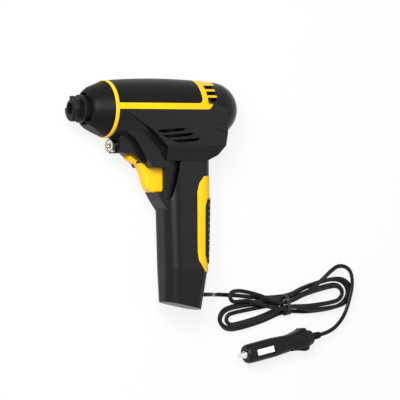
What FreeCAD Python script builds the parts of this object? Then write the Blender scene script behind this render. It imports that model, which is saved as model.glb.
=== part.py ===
import FreeCAD, Part
import Sketcher
import math
import os
import re
from types import SimpleNamespace
from FreeCAD import Placement, Rotation, Vector

# A pistol-shaped portable tire inflator, lying on its right side with its lead beside it.
# Tool frame while drawing: x runs back from the yellow ring's plane along the barrel, y runs up from
# the barrel's axis, and z points to the tool's left side, which lies uppermost on the table.

SIZES = {
    # Shell and its joints
    "wall": 2.6, "seam_gap": 0.05, "slide_gap": 0.3, "seat_gap": 0.15, "trim_proud": 0.35,
    # Barrel
    "ring_front": -2.5, "ring_rear": 1.5, "ring_radius": 30.4, "barrel_front_radius": 30.0,
    "barrel_mid": 50, "barrel_mid_radius": 32.3, "dome_start": 126, "dome_radius": 28.9,
    # Nose cone and bayonet outlet
    "nose_base_radius": 29.4, "nose_shoulder": -18.5, "nose_shoulder_radius": 23.2,
    "nose_lip": -24.0, "nose_lip_radius": 18.2, "nose_hole_radius": 13.0, "chin_drop": 24.5,
    "outlet_front": -41, "outlet_bore_radius": 6.2, "outlet_rim_radius": 7.6, "outlet_neck_radius": 9.6,
    "outlet_collar_front": -31.5, "outlet_collar_radius": 14.6, "outlet_collar_length": 3.2,
    "outlet_step_radius": 12.5, "outlet_flange_radius": 19.0, "outlet_flange_length": 3.0,
    "seal_radius": 5.6, "seal_length": 1.8, "outlet_passage_radius": 2.0, "outlet_passage_length": 9.0, "outlet_floor": -27.0, "outlet_tail": -1.0,
    "valve_chamber_radius": 4.2, "valve_cap_depth": 2.0, "lug_radius": 13.4, "lug_length": 4.6, "lug_angle": 108,
    # Cheeks, stepped neck and handle
    "cheek_half_width": 33.0, "cheek_top_half_width": 32.0, "cheek_foot_half_width": 22.5,
    "crease_drop": 38, "cheek_foot_drop": 54, "cheek_rear": 127, "step_half_width": 21.0,
    "neck_half_width": 13.0, "handle_axis": 92.4, "handle_top_drop": 46, "handle_long_drop": 167,
    "handle_end_drop": 207, "handle_half_depth": 27.0, "handle_low_half_depth": 25.0,
    "handle_end_half_depth": 21.5, "handle_half_width": 20.0, "handle_end_half_width": 17.5,
    "handle_corner": 14.0, "handle_end_rake": 2.8, "base_front_drop": 201, "base_rear_drop": 212,
    # Trim, cover and grip
    "strip_bottom": -0.4, "strip_top": 6.0, "arch_front": 101, "arch_rear": 107.5, "cover_corner": 5.0,
    "comb_reach": 119.5, "inlay_front": 99.5, "inlay_top_drop": 70, "inlay_end_drop": 170,
    "inlay_proud": 0.4, "inlay_thickness": 1.2, "pad_front": 109.5, "pad_top_drop": 97, "pad_end_drop": 160,
    "pad_rib_pitch": 6.2, "pad_rib_count": 10, "pad_proud": 1.5,
    # Lamp
    "lamp_drop": 38, "lamp_front": 3.4, "lens_radius": 7.0, "lens_length": 10.6, "lens_wall": 1.2,
    "lens_front_wall": 2.2, "holder_front": 11.4, "holder_radius": 8.2, "holder_rear": 30,
    "chip_radius": 2.2,
    # Trigger and lamp button
    "trigger_top_drop": 56.5, "trigger_end_drop": 87.0, "trigger_rear": 66.0, "trigger_half_width": 8.0,
    "trigger_travel": 5.0, "button_travel": 1.4, "button_half_width": 5.0, "switch_half_width": 5.0,
    "switch_length": 9.0, "switch_height": 13.0,
    # Motor
    "motor_front": 101, "motor_length": 38, "motor_radius": 18.0, "motor_wall": 1.2, "shaft_radius": 1.6,
    "bush_radius": 3.6, "bush_length": 3.4, "armature_radius": 12.2, "magnet_thickness": 3.2,
    "running_gap": 0.04,
    # Gears and crank
    "gear_module": 1.0, "pinion_teeth": 12, "gear_teeth": 32, "gear_face": 6.0, "gear_rear": 96.0,
    "tooth_rise": 0.8, "tooth_depth": 1.1, "centre_slack": 0.16, "pinion_overhang": 0.8,
    "axle_radius": 2.5, "crank_boss_radius": 9.6, "crank_boss_length": 10.5, "crank_throw": 6.0,
    "crank_pin_radius": 1.5, "pin_lift": 0.3,
    # Pump
    "pump_axis": 75.0, "bore_radius": 8.5, "cylinder_wall": 2.0, "rod_length": 24.0, "rod_width": 5.0,
    "rod_thickness": 3.6, "piston_crown": 7.0, "piston_length": 12.0, "piston_gap": 0.06,
    "pin_radius": 1.8, "head_gap": 0.6, "head_height": 8.0, "head_half_width": 13.4,
    "flange_thickness": 3.0, "cylinder_foot_drop": 7.5, "frame_thickness": 2.5, "arm_thickness": 2.4,
    "frame_ear_radius": 26.5, "pump_screw_radius": 1.4,
    # Fasteners
    "screw_head_radius": 2.8, "screw_head_length": 2.2, "screw_radius": 1.4, "boss_radius": 3.6,
    "screw_gap": 0.1, "screw_length": 22.0, "screw_depth": 9.0,
    # Twelve volt plug, along its own axis from the tip
    "plug_radius": 10.4, "plug_ring_start": 9.5, "plug_ring_length": 6.0, "plug_ring_front_radius": 9.0,
    "plug_waist_radius": 8.8, "plug_waist_at": 66.0, "plug_ear_at": 80.0, "plug_ear_reach": 12.4,
    "plug_rear": 92.0, "plug_rear_radius": 7.6, "plug_cavity_radius": 4.6, "plug_tip_radius": 4.4,
    "plug_tip_nose_radius": 2.0, "plug_tip_travel": 3.0, "packed_spring": 4.9, "contact_length": 21.0, "contact_start": 19.0,
    "contact_width": 6.4, "contact_thickness": 1.0, "contact_travel": 1.0, "contact_proud": 0.3,
    "relief_radius": 4.3, "relief_length": 14.0, "relief_rib_pitch": 2.4, "plug_heading": 12.35,
    # Power lead
    "lead_diameter": 3.8, "strand_gap": 1.5, "layer_gap": 0.6, "end_length": 1.3, "tie_thickness": 1.6, "tie_width": 4.2,
    "exit_drop": 194, "bush_reach": 1.2, "hank_heading": 10.3, "waist_reach": 8.0, "waist_lift": 1.75,
    "tube_radius": 2.3, "tube_wall": 0.9,
    # Circuit board and cable clamp
    "board_length": 30, "board_width": 34, "board_thickness": 1.6,
    "clamp_length": 8.0, "clamp_width": 12.0, "clamp_low": 6.0, "clamp_high": 9.6,
}

doc = FreeCAD.newDocument("tire_inflator")
sheet = doc.addObject("Spreadsheet::Sheet", "sizes")
for line, (name, number) in enumerate(SIZES.items(), start=1):
    sheet.set(f"A{line}", name)
    sheet.set(f"B{line}", str(number))
    sheet.setAlias(f"B{line}", name)
doc.recompute()
at = SimpleNamespace(**{name: float(sheet.get(name)) for name in SIZES})

UP = Vector(0, 1, 0)
BACK = Vector(1, 0, 0)
LEFT = Vector(0, 0, 1)
FAR = 60.0    # reaches past every outer wall of the tool
parts = {}    # node name to document object, in the tool frame
loose = {}    # node name to document object, on the table: the lead and its plug


def bound(text):
    """An expression on sizes by their plain names, as the sheet's cells are addressed."""
    return re.sub(r"[a-z]\w+", lambda word: "sizes." + word.group(0), text)


def sketch_outline(body, points, plane="XY_Plane"):
    """A closed outline in the body, each corner pinned to a pair of size expressions."""
    sketch = body.newObject("Sketcher::SketchObject", "Outline")
    support = [item for item in body.Origin.OriginFeatures if item.Role == plane][0]
    sketch.AttachmentSupport = [(support, "")]
    sketch.MapMode = "FlatFace"
    count = len(points)
    ring = [Vector(math.cos(2 * math.pi * i / count), math.sin(2 * math.pi * i / count), 0)
            for i in range(count)]
    for i in range(count):
        sketch.addGeometry(Part.LineSegment(ring[i], ring[(i + 1) % count]), False)
    for i in range(count):
        sketch.addConstraint(Sketcher.Constraint("Coincident", i, 2, (i + 1) % count, 1))
    for i, corner in enumerate(points):
        for kind, start, expression in zip(("DistanceX", "DistanceY"), (ring[i].x, ring[i].y), corner):
            number = sketch.addConstraint(Sketcher.Constraint(kind, -1, 1, i, 1, start))
            sketch.renameConstraint(number, f"{kind}{i}")
            sketch.setExpression(f"Constraints.{kind}{i}", bound(expression))
    return sketch


def new_body(label, base=Vector(), turn=Rotation()):
    body = doc.addObject("PartDesign::Body", label)
    body.Label = label
    body.Placement = Placement(base, turn)
    return body


def turned(label, points, base=Vector(), turn=Rotation(), store=parts):
    """A piece turned about its own X axis, from pairs of (distance along, radius)."""
    body = new_body(label, base, turn)
    feature = body.newObject("PartDesign::Revolution", "Turning")
    feature.Profile = sketch_outline(body, points)
    feature.ReferenceAxis = (feature.Profile[0], ["H_Axis"])
    feature.Angle = 360
    store[label] = body
    return body


def fixed(label, shape, store=parts):
    """A piece whose form neither a body nor a primitive gives."""
    item = doc.addObject("Part::Feature", label)
    item.Label = label
    item.Shape = shape
    store[label] = item
    return item


def rod(start, direction, length, radius):
    return Part.makeCylinder(radius, length, start, direction)


def slab(points, half_width=FAR):
    """A prism across the tool's width from an outline in its side view."""
    corners = [Vector(x, y, -half_width) for x, y in points]
    face = Part.Face(Part.makePolygon(corners + corners[:1]))
    return face.extrude(LEFT * (2 * half_width))


def block(x_low, x_high, y_low, y_high, z_low, z_high):
    return Part.makeBox(x_high - x_low, y_high - y_low, z_high - z_low, Vector(x_low, y_low, z_low))


def joined(shapes):
    return shapes[0].multiFuse(shapes[1:]).removeSplitter()


def revolved(edges):
    """A solid from edges in the upper side view, closed along the barrel's axis."""
    wire = Part.Wire(edges)
    ends = [wire.OrderedVertexes[0].Point, wire.OrderedVertexes[-1].Point]
    flat = [Vector(point.x, 0, 0) for point in ends]
    edges = list(wire.OrderedEdges)
    for start, end in ((ends[1], flat[1]), (flat[1], flat[0]), (flat[0], ends[0])):
        if start.distanceToPoint(end) > 1e-6:
            edges.append(Part.LineSegment(start, end).toShape())
    return Part.Face(Part.Wire(edges)).revolve(Vector(), BACK, 360)


# Casing form, drawn once for the outside and once, smaller by the wall, for the inside

def barrel_form(inset=0.0, start=None):
    start = at.ring_rear if start is None else start
    front = Vector(start, at.barrel_front_radius - inset, 0)
    middle = Vector(at.barrel_mid, at.barrel_mid_radius - inset, 0)
    dome = Vector(at.dome_start, at.dome_radius - inset, 0)
    half_turn = (at.dome_radius - inset) * math.sqrt(0.5)
    dome_middle = Vector(at.dome_start + half_turn, half_turn, 0)
    dome_end = Vector(at.dome_start + at.dome_radius - inset, 0, 0)
    return revolved([Part.Arc(front, middle, dome).toShape(),
                     Part.Arc(dome, dome_middle, dome_end).toShape()])


def cheek_form(inset=0.0):
    """Side outline of the cheeks crossed with their section: full at the crease, drawn in below it."""
    rear = at.cheek_rear - inset
    foot = -at.cheek_foot_drop + inset
    side = slab([(7 + 2.2 * inset, -1.3), (41 + 1.5 * inset, -23), (58 + 1.4 * inset, -40 + inset / 2),
                 (61 + inset, foot), (rear - 17, foot), (rear - 6, foot + 6), (rear, -at.crease_drop + inset),
                 (rear + 2.5, -25), (rear + 3, -1), (rear - 15, 10), (20 + inset, 10)])
    section = [(12, at.cheek_top_half_width - inset), (-1, at.cheek_top_half_width - inset),
               (-at.crease_drop, at.cheek_half_width - inset), (foot, at.cheek_foot_half_width - inset)]
    corners = [Vector(0, y, z) for y, z in section] + [Vector(0, y, -z) for y, z in reversed(section)]
    across = Part.Face(Part.makePolygon(corners + corners[:1])).extrude(BACK * 160)
    form = side.common(across)
    if inset:
        return form
    edges = [edge for edge in form.Edges if is_crease(edge) or is_cheek_corner(edge)]
    return form.makeFillet(2.2, edges)


def is_crease(edge):
    """The long edge where the cheek turns in, on either side."""
    heights = [vertex.Point.y for vertex in edge.Vertexes]
    length = edge.Length
    return length > 50 and max(abs(height + at.crease_drop) for height in heights) < 0.01


def is_cheek_corner(edge):
    """The edges across the width at the cheek's lower front, foot and rear."""
    first, second = [vertex.Point for vertex in edge.Vertexes][:2]
    across = abs(first.z - second.z) > 2 * at.step_half_width and abs(first.x - second.x) < 0.01
    return across and first.y < -at.crease_drop + 0.01 and first.x > at.cheek_rear - 30


def step_form(inset=0.0):
    """The narrower step between the cheeks and the neck."""
    return slab([(12 + inset, -10), (17 + inset, -25 + inset), (26.7 + inset, -33 + inset),
                 (45 + inset, -61 + inset), (66, -61 + inset), (66, -10)], at.step_half_width - inset)


def neck_form(inset=0.0):
    """The narrow spine: lamp bracket, button face, trigger guard and the step down to the handle."""
    return slab([(12 + inset, -20), (12 + inset, -46 + inset), (24 + inset / 2, -46 + inset),
                 (39 + inset, -56.5 + inset / 2), (64 + inset, -56.5 + inset / 2), (64 + inset, -86),
                 (55 + 1.4 * inset, -86.5 - inset), (60 + inset, -95 - inset / 2), (69 + inset, -108),
                 (90, -108), (90, -20)], at.neck_half_width - inset)


def rounded_section(drop, centre, half_depth, half_width, corner):
    """A rounded rectangle round the handle, square to it."""
    flat_x = half_depth - corner
    flat_z = half_width - corner
    slant = corner * math.sqrt(0.5)
    edges = []
    for turn, (x_sign, z_sign) in enumerate(((1, 1), (-1, 1), (-1, -1), (1, -1))):
        hub = Vector(centre + x_sign * flat_x, -drop, z_sign * flat_z)
        tips = [hub + Vector(x_sign * corner, 0, 0), hub + Vector(0, 0, z_sign * corner)]
        if turn % 2:
            tips.reverse()
        middle = hub + Vector(x_sign * slant, 0, z_sign * slant)
        edges.append(Part.Arc(tips[0], middle, tips[1]).toShape())
    wire = []
    for i, edge in enumerate(edges):
        wire.append(edge)
        wire.append(Part.LineSegment(edge.Vertexes[1].Point, edges[(i + 1) % 4].Vertexes[0].Point).toShape())
    return Part.Wire(wire)


def handle_form(inset=0.0):
    corner = at.handle_corner - inset
    slope = at.handle_end_rake / (at.handle_end_drop - at.handle_long_drop)
    taper = (at.handle_low_half_depth - at.handle_end_half_depth) / (at.handle_end_drop - at.handle_long_drop)
    thinning = (at.handle_half_width - at.handle_end_half_width) / (at.handle_end_drop - at.handle_long_drop)
    past = at.base_rear_drop + 2 - at.handle_long_drop
    stations = [(at.handle_top_drop, 0, at.handle_half_depth, at.handle_half_width),
                (95, 0, at.handle_half_depth, at.handle_half_width),
                (at.handle_long_drop, 0, at.handle_low_half_depth, at.handle_half_width),
                (at.handle_long_drop + past, slope * past, at.handle_low_half_depth - taper * past,
                 at.handle_half_width - thinning * past)]
    wires = [rounded_section(drop, at.handle_axis - rake, depth - inset, width - inset, corner)
             for drop, rake, depth, width in stations]
    form = Part.makeLoft(wires, True, True)
    recess = slab([(20, -30), (80, -30), (80, -55), (79, -62), (76, -76), (71.5, -90.5), (65, -99), (20, -101)])
    return form.cut(recess)


def base_cutter(inset=0.0):
    """Everything below the slanted end of the handle."""
    front = -at.base_front_drop + inset
    rear = -at.base_rear_drop + inset
    return slab([(at.handle_axis - 40, front + 3), (at.handle_axis + 40, rear - 2.4),
                 (at.handle_axis + 40, -260), (at.handle_axis - 40, -260)])


outer = joined([barrel_form(), cheek_form(), step_form(), neck_form(), handle_form()]).cut(base_cutter())
hollow = joined([barrel_form(at.wall), cheek_form(at.wall), step_form(at.wall), neck_form(at.wall),
                 handle_form(at.wall)]).cut(base_cutter(at.wall))
mouth = rod(Vector(-10, 0, 0), BACK, 24, at.barrel_front_radius - at.wall)
shell = outer.cut(hollow).cut(mouth)

# Screw bosses run from wall to wall, and the screws enter from the right side

SCREWS = [(20, -14), (119, -41), (66, -47), (82, -122), (91, -178)]
bosses = [rod(Vector(x, y, -FAR), LEFT, 2 * FAR, at.boss_radius).common(outer) for x, y in SCREWS]
shell = joined([shell] + bosses)
for x, y in SCREWS:
    head_seat = -at.screw_depth - at.screw_head_length
    shell = shell.cut(rod(Vector(x, y, head_seat), -LEFT, FAR, at.screw_head_radius + at.screw_gap))
    shell = shell.cut(rod(Vector(x, y, head_seat), LEFT, at.screw_length + at.screw_head_length + 1,
                          at.screw_radius + at.screw_gap))


def trim_outline(grow=0.0):
    """Side view of the yellow frame: strip, arch and comb, with the cover's window not yet cut."""
    low = at.strip_bottom - grow
    rear = at.arch_rear + grow
    tip = at.comb_reach + grow
    corner = Part.Arc(Vector(rear - 1.5, low, -FAR), Vector(rear + 3.4, low + 2.0, -FAR),
                      Vector(rear + 5.5, at.strip_top + grow, -FAR))
    points = [(rear + 5.5, at.strip_top + grow), (rear, at.strip_top + grow), (rear, 12.2 - grow),
              (tip, 12.2 - grow), (tip, 14.4 + grow), (rear, 14.4 + grow), (rear, 18.7 - grow),
              (tip, 18.7 - grow), (tip, 20.9 + grow), (rear, 20.9 + grow), (rear, 25 - grow),
              (tip + 3, 25 - grow), (tip + 3, 40), (0, 40), (0, low), (rear - 1.5, low)]
    corners = [Vector(x, y, -FAR) for x, y in points]
    edges = [Part.LineSegment(a, b).toShape() for a, b in zip(corners, corners[1:])]
    return Part.Face(Part.Wire([corner.toShape()] + edges)).extrude(LEFT * 2 * FAR)


def cover_outline(shrink=0.0):
    """Side view of the black top cover, with its rounded lower rear corner."""
    low = at.strip_top + shrink
    rear = at.arch_front - shrink
    turn = at.cover_corner
    slant = turn * (1 - math.sqrt(0.5))
    corner = Part.Arc(Vector(rear - turn, low, -FAR), Vector(rear - slant, low + slant, -FAR),
                      Vector(rear, low + turn, -FAR)).toShape()
    corners = [Vector(x, y, -FAR) for x, y in ((rear, low + turn), (rear, 40), (0, 40), (0, low),
                                               (rear - turn, low))]
    edges = [Part.LineSegment(a, b).toShape() for a, b in zip(corners, corners[1:])]
    return Part.Face(Part.Wire([corner] + edges)).extrude(LEFT * 2 * FAR)


barrel_front = at.ring_rear
behind_ring = block(barrel_front, 160, -FAR, FAR, -FAR, FAR)
barrel_wall = barrel_form().cut(barrel_form(at.wall)).common(behind_ring)
raised_wall = barrel_form(-at.trim_proud).cut(barrel_form(at.wall)).common(behind_ring)
trim_frame = raised_wall.common(trim_outline()).cut(cover_outline())
top_cover = barrel_wall.common(cover_outline(at.seam_gap))
shell = shell.cut(trim_outline(at.seam_gap))

# Slots: motor vents between the comb's bars, long vents in the cheeks, and two short grooves

for low, high in ((7.6, 10.9), (15.6, 17.5), (22.1, 23.8)):
    shell = shell.cut(slab([(109.5, low), (at.comb_reach - 1, low), (at.comb_reach - 1, high), (109.5, high)]))
CHEEK_VENTS = [((44, -22.4), (79.5, -20.2)), ((50.5, -27.6), (88.5, -25.4)), ((62, -32.6), (96.5, -30.6))]
for (front_x, front_y), (rear_x, rear_y) in CHEEK_VENTS:
    shell = shell.cut(slab([(front_x, front_y), (rear_x, rear_y + 0.6), (rear_x - 4, rear_y - 2.6),
                            (front_x + 7, front_y - 2.8)]))
GROOVES = [((118, -15), (128, -15)), ((116, -21), (127.5, -23.5))]
for (front_x, front_y), (rear_x, rear_y) in GROOVES:
    groove = slab([(front_x, front_y), (rear_x, rear_y), (rear_x, rear_y - 0.9), (front_x, front_y - 0.9)])
    shell = shell.cut(groove.cut(block(0, 160, -FAR, FAR, -at.cheek_half_width + 2, at.cheek_half_width - 2)))

# Openings for the trigger, the lamp button, the lamp holder and the lead

trigger_side = at.trigger_half_width + at.slide_gap
trigger_slot = slab([(40, -at.trigger_top_drop + 0.2), (82, -at.trigger_top_drop + 0.2),
                     (82, -at.trigger_end_drop - 0.5), (50, -at.trigger_end_drop - 0.5)], trigger_side)
shell = shell.cut(trigger_slot)
button_mid = Vector(31.5, -51.2, 0)
button_way = Vector(0.57, 0.82, 0)
button_way.normalize()
button_along = Vector(button_way.y, -button_way.x, 0)
button_length = 10.4


def button_prism(start, end, grow=0.0):
    """A straight prism along the button's way, between two distances from the neck's face."""
    half = button_length / 2 + grow
    corners = [button_mid + button_along * side + button_way * depth
               for side, depth in ((-half, start), (half, start), (half, end), (-half, end))]
    return slab([(point.x, point.y) for point in corners], at.button_half_width + grow)


shell = shell.cut(button_prism(-6, 7, at.slide_gap))
holder_place = Vector(at.lamp_front, -at.lamp_drop, 0)
shell = shell.cut(rod(holder_place, BACK, at.holder_rear - at.lamp_front, at.holder_radius + at.seat_gap))
exit_axis = at.handle_axis - at.handle_end_rake * (at.exit_drop - at.handle_long_drop) / 40
exit_face = exit_axis + at.handle_low_half_depth - 3.5 * (at.exit_drop - at.handle_long_drop) / 40
bush_hole = at.lead_diameter / 2 + at.bush_reach
shell = shell.cut(rod(Vector(exit_axis, -at.exit_drop, 0), BACK, FAR, bush_hole))

# Grip inlay let into the handle's rear, and the ribbed pad let into the inlay

inlay_mask = slab([(at.inlay_front + 8, -at.inlay_top_drop), (140, -at.inlay_top_drop + 2),
                   (140, -at.inlay_end_drop - 8), (at.inlay_front + 10, -at.inlay_end_drop),
                   (at.inlay_front + 1.5, -at.inlay_end_drop + 12), (at.inlay_front, -at.inlay_end_drop + 22),
                   (at.inlay_front, -at.inlay_top_drop - 16), (at.inlay_front + 2.5, -at.inlay_top_drop - 7)])
pad_mask = slab([(at.pad_front + 3, -at.pad_top_drop + 3), (140, -at.pad_top_drop + 9),
                 (140, -at.pad_end_drop - 7), (at.pad_front + 3, -at.pad_end_drop),
                 (at.pad_front, -at.pad_end_drop + 8), (at.pad_front, -at.pad_top_drop - 5)])
inlay_back = handle_form(at.inlay_thickness)
shell = shell.cut(handle_form(-1).cut(inlay_back).common(inlay_mask))
inlay_skin = handle_form(-at.inlay_proud).cut(handle_form(at.inlay_thickness - at.seam_gap))
grip_inlay = inlay_skin.common(inlay_mask).cut(pad_mask)
grip_pad = handle_form(-at.pad_proud).cut(inlay_back).common(pad_mask)
grip_pad = grip_pad.common(inlay_mask)
for rib in range(int(at.pad_rib_count) + 1):
    height = -at.pad_top_drop + 3 - rib * at.pad_rib_pitch
    notch = slab([(at.pad_front + 2.5, height), (140, height + 1.4), (140, height - 1.4)])
    grip_pad = grip_pad.cut(notch.cut(handle_form(at.inlay_thickness / 3)))

left_half = block(-FAR, 200, -260, FAR, 0, FAR)
right_half = block(-FAR, 200, -260, FAR, -FAR, 0)
fixed("casing_left", shell.common(left_half))
fixed("casing_right", shell.common(right_half))
fixed("trim_frame", trim_frame)
fixed("top_cover", top_cover)
fixed("grip_inlay", grip_inlay)
fixed("grip_pad", grip_pad)

# Ring, nose cone and bayonet outlet

turned("trim_ring", [
    ("ring_front", "barrel_front_radius - wall - 1"), ("ring_front", "ring_radius - 0.6"),
    ("ring_front + 0.6", "ring_radius"), ("ring_rear - 0.6", "ring_radius"),
    ("ring_rear", "ring_radius - 0.3"), ("ring_rear", "barrel_front_radius - wall - 1")])

nose_profile = [
    (at.ring_front, at.nose_base_radius), (at.nose_shoulder, at.nose_shoulder_radius),
    (at.nose_lip + 1.6, at.nose_lip_radius + 2.2), (at.nose_lip, at.nose_lip_radius),
    (at.nose_lip, at.nose_lip_radius - 1.6), (at.nose_lip + 3.2, at.nose_lip_radius - 2.2),
    (at.nose_lip + 3.2, at.nose_hole_radius), (at.nose_lip + 5.6, at.nose_hole_radius),
    (at.nose_lip + 5.6, at.outlet_flange_radius + at.seat_gap),
    (at.ring_front, at.barrel_front_radius - at.wall - 1)]
nose_edge = [Vector(x, radius, 0) for x, radius in nose_profile]
nose_cone = Part.Face(Part.makePolygon(nose_edge + nose_edge[:1])).revolve(Vector(), BACK, 360)
chin = slab([(at.nose_lip - 2, -15.5), (at.nose_lip - 2, -60), (2, -60), (2, -31), (-6, -at.chin_drop - 3.5)])
fixed("nose_cone", nose_cone.cut(chin))

flange_front = at.nose_lip + 5.6
flange_rear = flange_front + at.outlet_flange_length
outlet_profile = [
    (at.outlet_front, at.outlet_bore_radius), (at.outlet_front, at.outlet_rim_radius),
    (at.outlet_front + 0.8, at.outlet_rim_radius), (at.outlet_front + 0.8, at.outlet_neck_radius),
    (at.outlet_collar_front, at.outlet_neck_radius), (at.outlet_collar_front, at.outlet_collar_radius),
    (at.outlet_collar_front + at.outlet_collar_length, at.outlet_collar_radius),
    (at.outlet_collar_front + at.outlet_collar_length, at.outlet_step_radius),
    (flange_front, at.outlet_step_radius), (flange_front, at.outlet_flange_radius),
    (flange_rear, at.outlet_flange_radius), (flange_rear, at.valve_chamber_radius + 2.4),
    (at.outlet_tail, at.valve_chamber_radius + 2.4), (at.outlet_tail, at.valve_chamber_radius),
    (at.outlet_floor + at.outlet_passage_length, at.valve_chamber_radius),
    (at.outlet_floor + at.outlet_passage_length, at.outlet_passage_radius),
    (at.outlet_floor, at.outlet_passage_radius), (at.outlet_floor, at.seal_radius),
    (at.outlet_floor - at.seal_length, at.seal_radius), (at.outlet_floor - at.seal_length, at.outlet_bore_radius)]
outlet_edge = [Vector(x, radius, 0) for x, radius in outlet_profile]
outlet = Part.Face(Part.makePolygon(outlet_edge + outlet_edge[:1])).revolve(Vector(), BACK, 360)


def lug(middle):
    """One bayonet lug: a sector of a thick ring round the outlet's mouth."""
    face = Part.Face(Part.makePolygon([
        Vector(at.outlet_front + 0.8, at.outlet_neck_radius - 0.4, 0),
        Vector(at.outlet_front + 0.8, at.lug_radius - 0.8, 0), Vector(at.outlet_front + 1.6, at.lug_radius, 0),
        Vector(at.outlet_front + at.lug_length, at.lug_radius, 0),
        Vector(at.outlet_front + at.lug_length, at.outlet_neck_radius - 0.4, 0),
        Vector(at.outlet_front + 0.8, at.outlet_neck_radius - 0.4, 0)]))
    face.rotate(Vector(), BACK, middle - at.lug_angle / 2)
    return face.revolve(Vector(), BACK, at.lug_angle)


fixed("air_outlet", joined([outlet, lug(40), lug(220)]))
turned("outlet_seal", [
    ("outlet_floor", "outlet_passage_radius + 0.6"), ("outlet_floor", "seal_radius - seam_gap"),
    ("outlet_floor - seal_length", "seal_radius - seam_gap"),
    ("outlet_floor - seal_length", "outlet_passage_radius + 0.6")])

ball_radius = at.valve_chamber_radius - 1.2
valve_cap_front = at.outlet_tail - at.valve_cap_depth
ball_seat = valve_cap_front - math.sqrt(ball_radius ** 2 - (at.tube_radius - at.tube_wall) ** 2)
ball = doc.addObject("Part::Sphere", "check_valve_ball")
ball.Label = "check_valve_ball"
ball.setExpression("Radius", bound("valve_chamber_radius") + " - 1.2")
ball.Placement = Placement(Vector(ball_seat - at.seam_gap, 0, 0), Rotation())
parts["check_valve_ball"] = ball


def coil_spring(start, way, length, radius, wire, turns):
    """A helical spring of round wire, its end turns' wire just inside the given length."""
    pitch = (length - 2 * wire) / turns
    helix = Part.makeHelix(pitch, pitch * turns, radius)
    circle = Part.Circle(Vector(radius, 0, 0), Vector(0, 1, pitch / (2 * math.pi * radius)), wire / 2)
    spring = Part.Wire(helix.Edges).makePipeShell([Part.Wire([circle.toShape()])], True, True)
    spring.translate(Vector(0, 0, wire))
    spring.Placement = Placement(start, Rotation(LEFT, way)).multiply(spring.Placement)
    return spring


chamber_front = at.outlet_floor + at.outlet_passage_length
valve_spring_length = ball_seat - ball_radius + 0.7 - chamber_front
fixed("check_valve_spring", coil_spring(Vector(chamber_front, 0, 0), BACK, valve_spring_length, 2.4, 0.5, 6))

# Lamp: holder, reflector, yellow chip and clear lens

turned("lamp_holder", [
    ("holder_front", "lens_radius + seam_gap"), ("holder_front", "holder_radius"),
    ("holder_rear", "holder_radius"), ("holder_rear", "2"), ("lamp_front + lens_length + 1.6", "2"),
    ("lamp_front + lens_length + 1.6", "lens_radius - 0.8"), ("lamp_front + lens_length", "lens_radius - 0.8"),
    ("lamp_front + lens_length", "lens_radius + seam_gap")], Vector(0, -at.lamp_drop, 0))
turned("lamp_lens", [
    ("lamp_front", "0"), ("lamp_front", "lens_radius - 2"), ("lamp_front + 0.4", "lens_radius - 0.9"),
    ("lamp_front + 1", "lens_radius - 0.3"), ("lamp_front + 2", "lens_radius"),
    ("lamp_front + lens_length", "lens_radius"), ("lamp_front + lens_length", "lens_radius - lens_wall"),
    ("lamp_front + lens_front_wall", "lens_radius - lens_wall"), ("lamp_front + lens_front_wall", "0")],
    Vector(0, -at.lamp_drop, 0))
turned("lamp_reflector", [
    ("lamp_front + lens_front_wall + 0.4", "lens_radius - lens_wall - 0.9"),
    ("lamp_front + lens_front_wall + 0.4", "lens_radius - lens_wall - 0.1"),
    ("lamp_front + lens_length - 0.4", "chip_radius + 1"), ("lamp_front + lens_length + 1.6", "chip_radius + 1"),
    ("lamp_front + lens_length + 1.6", "chip_radius + seam_gap"),
    ("lamp_front + lens_length - 1.2", "chip_radius + seam_gap")], Vector(0, -at.lamp_drop, 0))
turned("led_chip", [
    ("lamp_front + lens_length - 3", "0"), ("lamp_front + lens_length - 3", "chip_radius - 1.2"),
    ("lamp_front + lens_length - 2", "chip_radius"), ("lamp_front + lens_length + 1.6", "chip_radius"),
    ("lamp_front + lens_length + 1.6", "0")], Vector(0, -at.lamp_drop, 0))

# Lamp button with its return spring and switch, square to the neck's slanted face

button = button_prism(-4.2, 1.2)
button = button.makeFillet(0.5, [edge for edge in button.Edges if edge.Length > 2])
fixed("lamp_button", button)
fixed("lamp_button_spring", coil_spring(button_mid + button_way * 1.25, button_way, 3.2, 1.9, 0.5, 3))
switch_start = button_mid + button_way * (at.button_travel + 3.1)
lamp_switch = Part.makeBox(6, 3.4, 6, Vector(-3, 0, -3))
lamp_switch.Placement = Placement(switch_start, Rotation(UP, button_way))
fixed("lamp_switch", lamp_switch)

# Trigger, guided in the neck's slot, with its spring and switch

top = -at.trigger_top_drop
end = -at.trigger_end_drop
front_curve = Part.BSplineCurve()
front_curve.interpolate([Vector(36.4, top, 0), Vector(41.5, -65, 0), Vector(44.6, -74, 0),
                         Vector(47.4, -82, 0), Vector(50.4, -85.4, 0), Vector(54.8, end, 0)])
rear_points = [Vector(54.8, end, 0), Vector(at.trigger_rear - 4, end, 0), Vector(at.trigger_rear, end + 4, 0),
               Vector(at.trigger_rear, -61, 0), Vector(53, -61, 0), Vector(44.5, top, 0), Vector(36.4, top, 0)]
trigger_edges = [front_curve.toShape()]
for first, second in zip(rear_points, rear_points[1:]):
    trigger_edges.append(Part.LineSegment(first, second).toShape())
trigger_face = Part.Face(Part.Wire(trigger_edges))
trigger_face.translate(LEFT * -at.trigger_half_width)
trigger = trigger_face.extrude(LEFT * 2 * at.trigger_half_width)
front_edges = [edge for edge in trigger.Edges if edge.Length > 25 and abs(edge.CenterOfMass.x - 43) < 5]
trigger = trigger.makeFillet(3.0, front_edges)
trigger_pocket = rod(Vector(at.trigger_rear - 6, -70, 0), BACK, 10, 3.2)
fixed("trigger", trigger.cut(trigger_pocket))

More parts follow.
